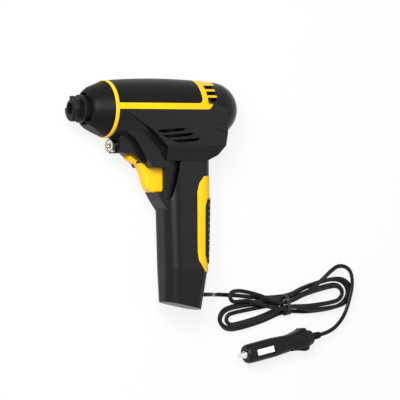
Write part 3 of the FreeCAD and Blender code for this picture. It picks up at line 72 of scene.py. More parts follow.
class InflatorFinish(bpy.types.PropertyGroup):
    black: FloatVectorProperty(name="Casing black", description="Colour of the moulded casing",
                               subtype="COLOR", size=3, min=0, max=1, default=(0.006, 0.006, 0.0068))
    yellow: FloatVectorProperty(name="Trim yellow",
                                description="Colour of the ring, frame, trigger and button",
                                subtype="COLOR", size=3, min=0, max=1, default=(1.0, 0.54, 0.003))
    inlay_yellow: FloatVectorProperty(name="Inlay yellow",
                                      description="Colour of the soft inlay on the handle",
                                      subtype="COLOR", size=3, min=0, max=1, default=(1.0, 0.57, 0.004))
    grain_size: FloatProperty(name="Grain", description="Size of the moulded grain", unit="LENGTH",
                              default=0.5 * MM, min=0.1 * MM, max=3 * MM)
    # Width of the edge band that carries the painted highlight and the rounded normal
    edge_width: FloatProperty(name="Edge highlight", description="Width of the polished line along edges",
                              unit="LENGTH", default=0.45 * MM, min=0, max=2 * MM)


class InflatorLead(bpy.types.PropertyGroup):
    core_radius: FloatProperty(name="Core radius", description="Radius of each of the lead's two cores",
                               unit="LENGTH", default=1.36 * MM, min=0.5 * MM, max=3 * MM)
    core_offset: FloatProperty(name="Core offset", description="Distance of each core from the lead's middle",
                               unit="LENGTH", default=0.86 * MM, min=0.2 * MM, max=3 * MM)
    strand_step: FloatProperty(name="Strand step", description="Distance between strands at the hank's waist",
                               unit="LENGTH", default=5.3 * MM, min=4 * MM, max=8 * MM)
    layer_step: FloatProperty(name="Layer step", description="Height between the hank's layers",
                              unit="LENGTH", default=4.4 * MM, min=4 * MM, max=8 * MM)
    floor_height: FloatProperty(name="Lead height", description="Height of the lead's middle on the table",
                                unit="LENGTH", default=2.1 * MM, min=1 * MM, max=4 * MM)
    jacket: FloatVectorProperty(name="Jacket", description="Colour of the lead's jacket", subtype="COLOR",
                                size=3, min=0, max=1, default=(0.006, 0.006, 0.0065))


class InflatorScrews(bpy.types.PropertyGroup):
    head_radius: FloatProperty(name="Head radius", description="Radius of the screws' heads", unit="LENGTH",
                               default=2.75 * MM, min=1 * MM, max=5 * MM)
    head_height: FloatProperty(name="Head height", description="Height of the screws' heads", unit="LENGTH",
                               default=2.1 * MM, min=0.5 * MM, max=4 * MM)
    shank_radius: FloatProperty(name="Shank radius", description="Radius of the screws' shanks",
                                unit="LENGTH", default=1.4 * MM, min=0.5 * MM, max=3 * MM)
    shank_length: FloatProperty(name="Shank length", description="Length of the screws' shanks",
                                unit="LENGTH", default=22 * MM, min=5 * MM, max=40 * MM)
    threads: IntProperty(name="Threads", description="Number of thread rings on a shank", default=14,
                         min=2, max=40)


class InflatorStage(bpy.types.PropertyGroup):
    view_angle: FloatProperty(name="View angle",
                              description="Turn of the camera from straight above to the outlet",
                              subtype="ANGLE", default=math.radians(30), min=0, max=1.5)
    distance: FloatProperty(name="Camera distance", description="Distance from the camera to the object",
                            unit="LENGTH", default=6.0, min=0.5, max=20)
    view_width: FloatProperty(name="View width", description="Width of the picture at the object",
                              unit="LENGTH", default=0.42, min=0.1, max=2)
    key_power: FloatProperty(name="Key light",
                             description="Power of the soft light beside the camera, in watts",
                             default=25.0, min=0, max=200)
    key_size: FloatProperty(name="Key size", description="Width of the soft light beside the camera",
                            unit="LENGTH", default=0.65, min=0.05, max=2)
    fill_power: FloatProperty(name="Fill light", description="Power of the light from the right, in watts",
                              default=0.8, min=0, max=200)
    surround: FloatProperty(name="Surround", description="Level of the light from all round",
                            default=0.3, min=0, max=3)


# Shader building

BEVEL_SAMPLES = 6
NOISE_MIDDLE = {"start": 0.3, "end": 0.7}  # where most of a noise's values lie
CLOUD_TONES = (0.86, 1.14)                 # darkest and lightest share of a plastic's colour
CLOUD_ROUGHNESS = 0.04                     # how far the clouding moves a plastic's roughness
EDGE_HIGHLIGHT_POLISH = -0.12                      # change of roughness along the edges that carry a painted highlight
METAL_EDGE = 0.2 * MM


class Shades:
    """A material under construction: its nodes, its links and its principled shader."""

    def __init__(self, name, **surface):
        self.material = bpy.data.materials.new(name)
        self.material.use_nodes = True
        self.nodes = self.material.node_tree.nodes
        self.links = self.material.node_tree.links
        self.shader = self.nodes["Principled BSDF"]
        for socket, value in surface.items():
            self.shader.inputs[socket.replace("_", " ")].default_value = value
        self.coords = self.nodes.new("ShaderNodeTexCoord")

    def add(self, kind, **inputs):
        node = self.nodes.new("ShaderNode" + kind)
        for socket, value in inputs.items():
            self.put(value, node.inputs[socket.replace("_", " ")])
        return node

    def put(self, value, socket):
        if isinstance(value, bpy.types.NodeSocket):
            self.links.new(value, socket)
        else:
            socket.default_value = value

    def noise(self, scale, detail=2.0, roughness=0.5, vector=None):
        node = self.add("TexNoise", Scale=scale, Detail=detail, Roughness=roughness)
        self.links.new(vector or self.coords.outputs["Object"], node.inputs["Vector"])
        return node.outputs["Fac"]

    def math(self, operation, *values):
        node = self.nodes.new("ShaderNodeMath")
        node.operation = operation
        for socket, value in zip(node.inputs, values):
            self.put(value, socket)
        return node.outputs[0]

    def ramp(self, factor, low, high, start, end):
        node = self.add("MapRange")
        for socket, value in zip(("Value", "From Min", "From Max", "To Min", "To Max"),
                                 (factor, start, end, low, high)):
            self.put(value, node.inputs[socket])
        return node.outputs["Result"]

    def mix(self, factor, first, second):
        node = self.nodes.new("ShaderNodeMix")
        node.data_type = "RGBA"
        for socket, value in ((node.inputs["Factor"], factor), (node.inputs["A"], first),
                              (node.inputs["B"], second)):
            self.put(value, socket)
        return node.outputs["Result"]

    def bump(self, height, distance, strength=1.0, normal=None):
        node = self.add("Bump", Height=height, Distance=distance, Strength=strength)
        if normal is not None:
            self.links.new(normal, node.inputs["Normal"])
        return node.outputs["Normal"]

    def edges(self, width):
        """A rounded normal, and a value that rises from 0 on the faces to 1 along the edges."""
        bevel = self.add("Bevel", Radius=width)
        bevel.samples = BEVEL_SAMPLES
        geometry = self.nodes.new("ShaderNodeNewGeometry")
        dot = self.nodes.new("ShaderNodeVectorMath")
        dot.operation = "DOT_PRODUCT"
        self.links.new(bevel.outputs["Normal"], dot.inputs[0])
        self.links.new(geometry.outputs["Normal"], dot.inputs[1])
        edge = self.ramp(dot.outputs["Value"], low=1.0, high=0.0, start=0.90, end=0.99)
        return bevel.outputs["Normal"], edge

    def set(self, **values):
        for socket, value in values.items():
            self.put(value, self.shader.inputs[socket.replace("_", " ")])


def shade(colour, factor=1.0):
    return (colour[0] * factor, colour[1] * factor, colour[2] * factor, 1.0)


def moulded(name, colour, roughness, grain_size, grain_depth, edge_width, edge_highlight_gain=2.0, edge_highlight_colour=None,
            **surface):
    """Moulded plastic: faint clouding, a fine sparked grain, and a painted highlight along the edges, broken
    up by a noise, where the surface is also smoother.
    """
    work = Shades(name, **surface)
    cloud = work.noise(scale=22.0, detail=3.0)
    grain = work.noise(scale=1.0 / grain_size, detail=2.0, roughness=0.6)
    body = work.mix(cloud, *(shade(colour, tone) for tone in CLOUD_TONES))
    rounded, edge = work.edges(edge_width)
    # A noise thins the edge mask into patches. Where the mask is left, the base colour turns lighter: a
    # painted highlight along the edges.
    highlight_breakup = work.noise(scale=160.0, detail=4.0, roughness=0.7)
    painted_edge_highlight = work.math("MULTIPLY", edge, work.ramp(highlight_breakup, low=0.35, high=0.9, start=0.35, end=0.7))
    # The lighter colour of the painted edge highlight
    highlight_tint = shade(edge_highlight_colour) if edge_highlight_colour else shade(colour, edge_highlight_gain)
    work.set(Base_Color=work.mix(painted_edge_highlight, body, highlight_tint))
    clouded = work.ramp(cloud, roughness - CLOUD_ROUGHNESS, roughness + CLOUD_ROUGHNESS, **NOISE_MIDDLE)
    rough = work.math("ADD", clouded, work.math("MULTIPLY", painted_edge_highlight, EDGE_HIGHLIGHT_POLISH))
    work.set(Roughness=rough, Normal=work.bump(grain, grain_depth, strength=0.6, normal=rounded))
    return work.material


def machined(name, colour, roughness, line_scale=900.0, stretch=(1.0, 1.0, 14.0)):
    """Bare or plated metal: fine drawn lines, faint tarnish and a painted highlight along the edges."""
    work = Shades(name, Metallic=1.0)
    mapping = work.add("Mapping", Scale=stretch, Vector=work.coords.outputs["Object"])
    lines = work.noise(line_scale, detail=2.0, roughness=0.5, vector=mapping.outputs["Vector"])
    tarnish = work.noise(scale=60.0, detail=3.0)
    rounded, edge = work.edges(METAL_EDGE)
    body = work.mix(tarnish, shade(colour, 0.8), shade(colour))
    # The edges are coloured lighter than the body: a painted highlight
    work.set(Base_Color=work.mix(edge, body, shade(colour, 1.1)),
             Roughness=work.ramp(lines, roughness - 0.06, roughness + 0.1, **NOISE_MIDDLE),
             Normal=work.bump(lines, distance=0.00001, strength=0.5, normal=rounded))
    return work.material


def dress(material, *nodes):
    """Gives CAD nodes their finish."""
    for name in nodes:
        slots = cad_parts[name].data.materials
        slots.clear()
        slots.append(material)


# Mesh building

def mesh_piece(name, vertices, faces, material):
    """A piece with its place in its mesh, riding on the housing."""
    mesh = bpy.data.meshes.new(name)
    mesh.from_pydata([tuple(v) for v in vertices], [], faces)
    mesh.materials.append(material)
    return finished_piece(name, mesh)


def finished_piece(name, mesh, body="housing", smooth=True):
    """An object for a finished mesh, riding on a body."""
    mesh.name = name
    mesh.validate()
    mesh.polygons.foreach_set("use_smooth", [smooth] * len(mesh.polygons))
    mesh.update()
    piece = bpy.data.objects.new(name, mesh)
    bpy.context.scene.collection.objects.link(piece)
    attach(piece, body)
    return piece


def spline_line(points, steps):
    """The line of an open NURBS spline of order 3 through its end points, as plain points."""
    curve = bpy.data.curves.new("route", "CURVE")
    curve.dimensions = "3D"
    spline = curve.splines.new("NURBS")
    spline.points.add(len(points) - 1)
    for point, place in zip(spline.points, points):
        point.co = (*place, 1.0)
    spline.order_u = 3
    spline.use_endpoint_u = True
    spline.resolution_u = steps
    holder = bpy.data.objects.new("route", curve)
    bpy.context.scene.collection.objects.link(holder)
    line = bpy.data.meshes.new_from_object(holder.evaluated_get(bpy.context.evaluated_depsgraph_get()))
    places = [vertex.co.copy() for vertex in line.vertices]
    bpy.data.objects.remove(holder)
    bpy.data.curves.remove(curve)
    bpy.data.meshes.remove(line)
    return places


def swept(line, profile, turn=lambda share: 0.0, closed=False, up=Vector((0, 0, 1))):
    """Vertices and quads of a section carried along a line, its second axis held towards up."""
    vertices, faces = [], []
    count, ring = len(line), len(profile)
    for i, place in enumerate(line):
        before = line[(i - 1) % count] if closed else line[max(i - 1, 0)]
        after = line[(i + 1) % count] if closed else line[min(i + 1, count - 1)]
        along = (after - before).normalized()
        side = up.cross(along).normalized()
        rise = along.cross(side)
        angle = turn(i / (count - 1))
        first = side * math.cos(angle) + rise * math.sin(angle)
        second = rise * math.cos(angle) - side * math.sin(angle)
        vertices += [place + first * a + second * b for a, b in profile]
    for i in range(count if closed else count - 1):
        for k in range(ring):
            here, there = i * ring, ((i + 1) % count) * ring
            faces.append((here + k, here + (k + 1) % ring, there + (k + 1) % ring, there + k))
    if not closed:
        faces.append(tuple(reversed(range(ring))))
        faces.append(tuple(range((count - 1) * ring, count * ring)))
    return vertices, faces


GROOVE_ANGLE = 0.22  # how far each core's outline stops short of the groove, in radians


def twin_section(radius, offset, count=9):
    """Outline of two cores side by side, with a groove between them on both faces."""
    reach = math.pi - math.acos(min(1.0, offset / radius)) - GROOVE_ANGLE
    right = [(offset + radius * math.cos(a), radius * math.sin(a))
             for a in (reach * (2 * k / (count - 1) - 1) for k in range(count))]
    return right + [(-x, -y) for x, y in right]


# Power lead. LEAD_START and TAIL are in millimetres in the row frame, the hank's points in its own

LEAD_START = [(53.0, -105.18, 34.47), (67.2, -105.18, 34.47), (80.2, -105.48, 21.47), (90.2, -106.08, 5.64),
              (95.94, -105.84, 2.14)]
TAIL = [(230.01, -82.88, 10.94), (243.05, -74.99, 8.94), (256.55, -79.69, 10.44), (259.05, -95.19, 11.24),
        (254.85, -113.19, 10.94), (247.55, -131.19, 11.54), (232.8, -146.34, 10.74), (220.1, -149.12, 10.74)]

# Each end loop: side, reach, start slot, end slot, swell at its start and end, start layer, end layer
END_LOOPS = [
    (1, 84, 1.5, -1.5, 16.5, -15.5, 0, 0),
    (-1, 79, -1.5, 0.5, -15.0, 9.0, 0, 0),
    (1, 77, 0.5, -0.5, 10.5, -9.5, 0, 0),
    (-1, 71, -0.5, 0.5, -9.6, 3.4, 0, 1),
    (1, 74, 0.5, -0.5, 9.0, -8.5, 1, 1),
    (-1, 82, -0.5, 1.5, -12.5, 11.0, 1, 1),
    (1, 86, 1.5, -0.5, 17.0, -14.5, 1, 2),
]

# The last loop, as the photo shows it: along and across the hank in millimetres, and its layer
LAST_LOOP = [(-28, 4.6, 2.1), (-44, 13.2, 2.1), (-54, 14.6, 1.95), (-62.1, 14.8, 1.8), (-65.4, 18.1, 1.65),
             (-65.4, 22.7, 1.5), (-62.1, 26.0, 1.35), (-54, 25.9, 1.25), (-44, 22.6, 1.5), (-28, 15.0, 2.1)]
WAIST_REACH, WAIST_LIFT, LOOP_ROUNDING = 8.0, 1.75, 1.3
SHOULDER_REACH, SHOULDER_LIFT = 28, 0.4
SHOULDER_SWELL = 0.68  # share of a loop's swell that it has at its shoulder
END_CLIMB = 0.3        # share of the way to the next layer that a loop climbs by its last point
ROUTE_STEPS = 10       # points that the spline gives for each point of the route

# The flat lead rolls a little from side to side along its length
LEAD_ROLL, LEAD_WAVES, LEAD_PHASE = 0.30, 37, 0.6


def hank_points(lead):
    """Points of the tied hank, in millimetres in its own frame: a waist pass, then an end loop, and so on."""
    step, rise, base = lead.strand_step / MM, lead.layer_step / MM, lead.floor_height / MM
    points = [(-70, 24.3, base), (-50, 19.6, base), (-28, 12.6, base)]
    for side, reach, start, end, swell, swell_end, layer, layer_end in END_LOOPS:
        low, high = base + rise * layer, base + rise * layer_end
        middle, half = (swell + swell_end) / 2, (swell - swell_end) / 2
        near = reach - LOOP_ROUNDING * abs(half)
        begin, finish = start * step, end * step
        points.append((side * WAIST_REACH, begin, low + WAIST_LIFT))
        points.append((side * SHOULDER_REACH, begin + SHOULDER_SWELL * (swell - begin), low + SHOULDER_LIFT))
        for turn in (90, 45, 0, -45, -90):
            across = middle + half * math.sin(math.radians(turn))
            along = near + (reach - near) * math.cos(math.radians(turn))
            points.append((side * along, across, low if turn > -90 else low + END_CLIMB * (high - low)))
        points.append((side * SHOULDER_REACH, finish + SHOULDER_SWELL * (swell_end - finish),
                       high + SHOULDER_LIFT))
        points.append((side * WAIST_REACH, finish, high + WAIST_LIFT))
    top = base + rise * 2
    points.append((-WAIST_REACH, -0.5 * step, top + WAIST_LIFT))
    points += [(along, across, base + rise * layer) for along, across, layer in LAST_LOOP]
    points.append((-WAIST_REACH, 0.5 * step, top + WAIST_LIFT))
    points.append((WAIST_REACH, 0.6 * step, top + WAIST_LIFT))
    points.append((28, 8.5, top + 0.5))
    points.append((49, 18.2, top))
    return points


def hank_point(x, y, z):
    """A point of the hank's frame, in millimetres, in the row frame."""
    return HANK_CENTRE + Matrix.Rotation(HANK_HEADING, 3, "Z") @ (Vector((x, y, z)) * MM)


def lead_route(lead):
    hank = [hank_point(*point) for point in hank_points(lead)]
    return [Vector(p) * MM for p in LEAD_START] + hank + [Vector(p) * MM for p in TAIL]


def lead_turn(share):
    """Turn of the lead's section at a share of its length, in radians."""
    return LEAD_ROLL * math.sin(LEAD_WAVES * share + LEAD_PHASE)


class INFLATOR_OT_lead(bpy.types.Operator):
    """Makes the two-core power lead from the handle through the tied hank to the plug"""
    bl_idname = "inflator.lead"
    bl_label = "Power lead"

    def execute(self, context):
        lead = context.scene.inflator_lead
        material = lead_jacket(lead.jacket)
        line = spline_line(lead_route(lead), ROUTE_STEPS)
        profile = twin_section(lead.core_radius, lead.core_offset)
        vertices, faces = swept(line, profile, lead_turn)
        piece = mesh_piece("power_lead", vertices, faces, material)
        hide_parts("lead_run", "lead_hank", "lead_tail")
        return {"FINISHED"}


def lead_jacket(colour):
    """Soft black jacket: smooth and shiny on the cores, with faint handling marks along it."""
    work = Shades("lead_jacket", Specular_IOR_Level=0.16, Coat_Weight=0.05, Coat_Roughness=0.12)
    marks = work.noise(scale=420.0, detail=3.0, roughness=0.6)
    cloud = work.noise(scale=35.0, detail=2.0)
    work.set(Base_Color=work.mix(cloud, shade(colour, 0.8), shade(colour, 1.3)),
             Roughness=work.ramp(marks, low=0.16, high=0.26, **NOISE_MIDDLE),
             Normal=work.bump(marks, distance=0.00001, strength=0.2))
    return work.material


# Tie round the hank's waist, in millimetres of the hank's frame: across and height of its corners
TIE_CORNERS = [(-10.2, 1.6), (-10.6, 8.5), (-6.2, 15.2), (5.6, 15.6), (10.8, 11.2), (10.4, 1.6), (0, 0.9)]
TIE_SHIFT, TIE_LEAN, TIE_STEPS = 1.0, 0.06, 10
TIE_RADIUS, TIE_WIDENING, TIE_SIDES = 0.95 * MM, 1.15, 12

# Its two ends, twisted round each other
KNOT_START, KNOT_PITCH, KNOT_POINTS, KNOT_STEPS = (0.4, -10.7, 2.4), 1.1, 8, 6
KNOT_WIDTH, KNOT_HEIGHT, KNOT_TURN, KNOT_THINNING = 0.8, 0.75, 1.7, 0.72


class INFLATOR_OT_tie(bpy.types.Operator):
    """Winds the soft tie twice round the hank's waist and twists its two ends together"""
    bl_idname = "inflator.tie"
    bl_label = "Hank tie"

    def execute(self, context):
        # The tie's edges carry a painted highlight from its moulded finish
        material = moulded("tie_black", (0.012, 0.012, 0.013), roughness=0.42, grain_size=0.4 * MM,
                           grain_depth=0.00002, edge_width=0.2 * MM)
        angles = [math.tau * k / TIE_SIDES for k in range(TIE_SIDES)]
        profile = [(TIE_RADIUS * TIE_WIDENING * math.cos(a), TIE_RADIUS * math.sin(a)) for a in angles]
        vertices, faces = [], []
        for shift in (-TIE_SHIFT, TIE_SHIFT):
            loop = rounded_loop([hank_point(shift + TIE_LEAN * z, y, z) for y, z in TIE_CORNERS], TIE_STEPS)
            more, quads = swept(loop, profile, closed=True, up=hank_point(1, 0, 0) - hank_point(0, 0, 0))
            faces += [tuple(i + len(vertices) for i in quad) for quad in quads]
            vertices += more
        thin = [(a * KNOT_THINNING, b * KNOT_THINNING) for a, b in profile]
        x, y, z = KNOT_START
        for phase in (0.0, math.pi):
            twist = [(x + KNOT_PITCH * k, y + KNOT_WIDTH * math.cos(phase + KNOT_TURN * k),
                      z + KNOT_HEIGHT * math.sin(phase + KNOT_TURN * k)) for k in range(KNOT_POINTS)]
            line = spline_line([hank_point(*point) for point in twist], KNOT_STEPS)
            more, quads = swept(line, thin)
            faces += [tuple(i + len(vertices) for i in quad) for quad in quads]
            vertices += more
        piece = mesh_piece("tie", vertices, faces, material)
        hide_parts("hank_tie")
        return {"FINISHED"}


def rounded_loop(corners, steps):
    """A closed smooth line that stays just inside its corners."""
    line = []
    count = len(corners)
    for i, corner in enumerate(corners):
        start = (corners[i - 1] + corner) / 2
        end = (corner + corners[(i + 1) % count]) / 2
        for k in range(steps):
            t = k / steps
            line.append(start * (1 - t) ** 2 + corner * 2 * t * (1 - t) + end * t ** 2)
    return line


# Screws, by geometry nodes

# Shares of the head's radius: its top, and the recess's length and width; and of its height: the recess
HEAD_TOP, RECESS_LENGTH, RECESS_WIDTH, RECESS_HEIGHT = 0.72, 1.15, 0.24, 1.1
# Shares of the shank's radius: the thread's root and a ring's height; and of its length: the rings' places
THREAD_ROOT, RING_HEIGHT, FIRST_RING, RING_PITCH = 0.78, 0.5, -0.98, 0.045
HEAD_SIDES, SHANK_SIDES = 32, 20


def input_socket(tree, name, kind, value):
    socket = tree.interface.new_socket(name, in_out="INPUT", socket_type=kind)
    if value is not None:
        socket.default_value = value
    return socket.identifier


def tree_node(tree, kind, **inputs):
    node = tree.nodes.new(kind)
    for name, value in inputs.items():
        socket = node.inputs[name.replace("_", " ")]
        if isinstance(value, bpy.types.NodeSocket):
            tree.links.new(value, socket)
        else:
            socket.default_value = value
    return node


def screw_tree():
    """A pan-head screw with a cross recess and thread rings, set on each point with its shank along Z."""
    tree = bpy.data.node_groups.new("casing_screw_set", "GeometryNodeTree")
    names = {"Points": input_socket(tree, "Points", "NodeSocketGeometry", None)}
    for name, value in (("Head Radius", 0.003), ("Head Height", 0.002), ("Shank Radius", 0.0014),
                        ("Shank Length", 0.022)):
        names[name] = input_socket(tree, name, "NodeSocketFloat", value)
    names["Threads"] = input_socket(tree, "Threads", "NodeSocketInt", 14)
    names["Material"] = input_socket(tree, "Material", "NodeSocketMaterial", None)
    tree.interface.new_socket("Geometry", in_out="OUTPUT", socket_type="NodeSocketGeometry")
    given = tree.nodes.new("NodeGroupInput").outputs
    links = tree.links

    def scaled(value, factor):
        node = tree.nodes.new("ShaderNodeMath")
        node.operation = "MULTIPLY"
        links.new(value, node.inputs[0])
        node.inputs[1].default_value = factor
        return node.outputs[0]

    def vector(x=0.0, y=0.0, z=0.0):
        node = tree.nodes.new("ShaderNodeCombineXYZ")
        for socket, value in zip(node.inputs, (x, y, z)):
            if isinstance(value, bpy.types.NodeSocket):
                links.new(value, socket)
            else:
                socket.default_value = value
        return node.outputs[0]

    head = tree_node(tree, "GeometryNodeMeshCone", Vertices=HEAD_SIDES, Side_Segments=3, Fill_Segments=2,
                     Radius_Top=scaled(given["Head Radius"], HEAD_TOP), Radius_Bottom=given["Head Radius"],
                     Depth=given["Head Height"])
    cutters = tree.nodes.new("GeometryNodeJoinGeometry")
    for swap in (False, True):
        wide = scaled(given["Head Radius"], RECESS_LENGTH)
        slim = scaled(given["Head Radius"], RECESS_WIDTH)
        size = vector(slim if swap else wide, wide if swap else slim,
                      scaled(given["Head Height"], RECESS_HEIGHT))
        bar = tree_node(tree, "GeometryNodeMeshCube", Size=size)
        move = tree_node(tree, "GeometryNodeTransform", Geometry=bar.outputs["Mesh"],
                         Translation=vector(z=given["Head Height"]))
        links.new(move.outputs["Geometry"], cutters.inputs[0])
    cut = tree.nodes.new("GeometryNodeMeshBoolean")
    cut.operation = "DIFFERENCE"
    links.new(head.outputs["Mesh"], cut.inputs["Mesh 1"])
    links.new(cutters.outputs[0], cut.inputs["Mesh 2"])
    shank = tree_node(tree, "GeometryNodeMeshCylinder", Vertices=SHANK_SIDES,
                      Radius=scaled(given["Shank Radius"], THREAD_ROOT), Depth=given["Shank Length"])
    shank_place = tree_node(tree, "GeometryNodeTransform", Geometry=shank.outputs["Mesh"],
                            Translation=vector(z=scaled(given["Shank Length"], -0.5)))
    ring = tree_node(tree, "GeometryNodeMeshCone", Vertices=SHANK_SIDES,
                     Radius_Top=scaled(given["Shank Radius"], THREAD_ROOT),
                     Radius_Bottom=given["Shank Radius"], Depth=scaled(given["Shank Radius"], RING_HEIGHT))
    thread_line = tree_node(tree, "GeometryNodeMeshLine", Count=given["Threads"],
                            Start_Location=vector(z=scaled(given["Shank Length"], FIRST_RING)),
                            Offset=vector(z=scaled(given["Shank Length"], RING_PITCH)))
    rings = tree_node(tree, "GeometryNodeInstanceOnPoints", Points=thread_line.outputs["Mesh"],
                      Instance=ring.outputs["Mesh"])
    screw = tree.nodes.new("GeometryNodeJoinGeometry")
    for part in (cut.outputs["Mesh"], shank_place.outputs["Geometry"], rings.outputs["Instances"]):
        links.new(part, screw.inputs[0])
    placed = tree_node(tree, "GeometryNodeInstanceOnPoints", Points=given["Points"],
                       Instance=screw.outputs[0])
    real = tree_node(tree, "GeometryNodeRealizeInstances", Geometry=placed.outputs["Instances"])
    coated = tree_node(tree, "GeometryNodeSetMaterial", Geometry=real.outputs["Geometry"],
                       Material=given["Material"])
    links.new(coated.outputs["Geometry"], tree.nodes.new("NodeGroupOutput").inputs[0])
    return tree, names


def run_tree(name, tree, names, points, values):
    """Runs a node tree on a set of points, and returns its result as a plain mesh."""
    cloud = bpy.data.meshes.new(name)
    cloud.from_pydata([tuple(point) for point in points], [], [])
    holder = bpy.data.objects.new(name + "_points", cloud)
    modifier = holder.modifiers.new("nodes", "NODES")
    modifier.node_group = tree
    for label, value in values.items():
        modifier[names[label]] = value
    bpy.context.scene.collection.objects.link(holder)
    shown = holder.evaluated_get(bpy.context.evaluated_depsgraph_get())
    mesh = bpy.data.meshes.new_from_object(shown)
    holder.modifiers.remove(modifier)
    bpy.data.objects.remove(holder)
    bpy.data.meshes.remove(cloud)
    return mesh


# The screws' places along the barrel's axis and above it, and their seat's depth, in millimetres
SCREW_PLACES = [(20, -14), (119, -41), (66, -47), (82, -122), (91, -178)]
SCREW_SEAT = -11.2


class INFLATOR_OT_screws(bpy.types.Operator):
    """Makes the casing's five screws, which enter from the tool's right side"""
    bl_idname = "inflator.screws"
    bl_label = "Casing screws"

    def execute(self, context):
        sizes = context.scene.inflator_screws
        steel = bpy.data.materials["bright_steel"]
        tree, names = screw_tree()
        mesh = run_tree("casing_screw_heads", tree, names, [(x * MM, y * MM, 0) for x, y in SCREW_PLACES],
                        {"Head Radius": sizes.head_radius, "Head Height": sizes.head_height,
                         "Shank Radius": sizes.shank_radius, "Shank Length": sizes.shank_length,
                         "Threads": sizes.threads, "Material": steel})
        turn = Matrix.Rotation(ROLL, 4, "X")
        flip = Matrix.Diagonal((1, 1, -1, 1))
        mesh.transform(Matrix.Translation(tool_point(0, 0, SCREW_SEAT)) @ turn @ flip)
        mesh.flip_normals()
        piece = finished_piece("screw_set", mesh, smooth=False)
        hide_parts("casing_screws")
        return {"FINISHED"}


# Finishes

# Pale yellow of the painted highlight along the yellow parts' edges
EDGE_HIGHLIGHT_YELLOW = (1.0, 0.8, 0.14)


class INFLATOR_OT_casing(bpy.types.Operator):
    """Gives the casing, cover, nose, outlet, inlay and pad their moulded finishes"""
    bl_idname = "inflator.casing"
    bl_label = "Casing"

    def execute(self, context):
        look = context.scene.inflator_finish
        black = tuple(look.black)
        skin = {"grain_size": look.grain_size, "edge_width": look.edge_width}
        # Each edge gain sets how much lighter than its plastic the painted edge highlight is
        dress(moulded("casing_black", black, roughness=0.30, grain_depth=0.00004, edge_highlight_gain=2.6,
                      Specular_IOR_Level=0.17, **skin), "casing_left", "casing_right", "lamp_holder")
        dress(moulded("cover_black", shade(black, 0.85)[:3], roughness=0.36, grain_depth=0.00003,
                      edge_highlight_gain=2.6, Specular_IOR_Level=0.12, **skin), "top_cover")
        dress(moulded("nose_black", shade(black, 0.7)[:3], roughness=0.44, grain_depth=0.00002,
                      edge_highlight_gain=3.0, Specular_IOR_Level=0.1, **skin), "nose_cone")
        dress(moulded("outlet_black", shade(black, 1.1)[:3], roughness=0.38, grain_depth=0.00005,
                      edge_highlight_gain=4.0, Specular_IOR_Level=0.14, **skin), "air_outlet")
        dress(moulded("inlay_yellow", tuple(look.inlay_yellow), roughness=0.4, grain_depth=0.00002,
                      edge_highlight_colour=EDGE_HIGHLIGHT_YELLOW, Specular_IOR_Level=0.2, **skin), "grip_inlay")
        dress(moulded("pad_rubber", (0.008, 0.008, 0.008), roughness=0.6, grain_size=0.4 * MM,
                      grain_depth=0.00006, edge_width=look.edge_width, edge_highlight_gain=2.4,
                      Specular_IOR_Level=0.12), "grip_pad", "outlet_seal", "cord_bush", "piston_ring")
        return {"FINISHED"}


class INFLATOR_OT_trim(bpy.types.Operator):
    """Gives the ring, frame, trigger and lamp button their glossy yellow"""
    bl_idname = "inflator.trim"
    bl_label = "Yellow trim"

    def execute(self, context):
        look = context.scene.inflator_finish
        # The trim's edges carry a painted highlight in pale yellow
        dress(moulded("trim_yellow", tuple(look.yellow), roughness=0.28, grain_size=0.7 * MM,
                      grain_depth=0.00001, edge_width=look.edge_width, edge_highlight_colour=EDGE_HIGHLIGHT_YELLOW,
                      Specular_IOR_Level=0.22),
              "trim_ring", "trim_frame", "trigger", "lamp_button")
        return {"FINISHED"}


class INFLATOR_OT_lamp(bpy.types.Operator):
    """Gives the lamp its clear lens, a plated reflector tinted amber as a painted reflection of the chip, and
    its yellow chip
    """
    bl_idname = "inflator.lamp"
    bl_label = "Lamp"

    def execute(self, context):
        glass = Shades("lens_clear", Transmission_Weight=1.0, IOR=1.46, Roughness=0.02)
        ripple = glass.noise(scale=500.0, detail=1.0)
        glass.set(Base_Color=glass.mix(ripple, (0.82, 0.81, 0.78, 1), (0.9, 0.89, 0.86, 1)),
                  Normal=glass.bump(ripple, distance=0.00002, strength=0.3))
        dress(glass.material, "lamp_lens", "plug_fuse")
        # The reflector's metal is tinted a dark amber: a painted reflection of the yellow chip
        dress(machined("reflector_painted_amber", (0.6, 0.5, 0.32), roughness=0.12, line_scale=300.0,
                       stretch=(1, 1, 1)), "lamp_reflector")
        # The chip's edges carry a painted highlight, a little lighter than its yellow
        dress(moulded("chip_yellow", (0.95, 0.62, 0.03), roughness=0.4, grain_size=0.3 * MM,
                      grain_depth=0.00002, edge_width=0.2 * MM, edge_highlight_gain=1.2), "led_chip")
        return {"FINISHED"}


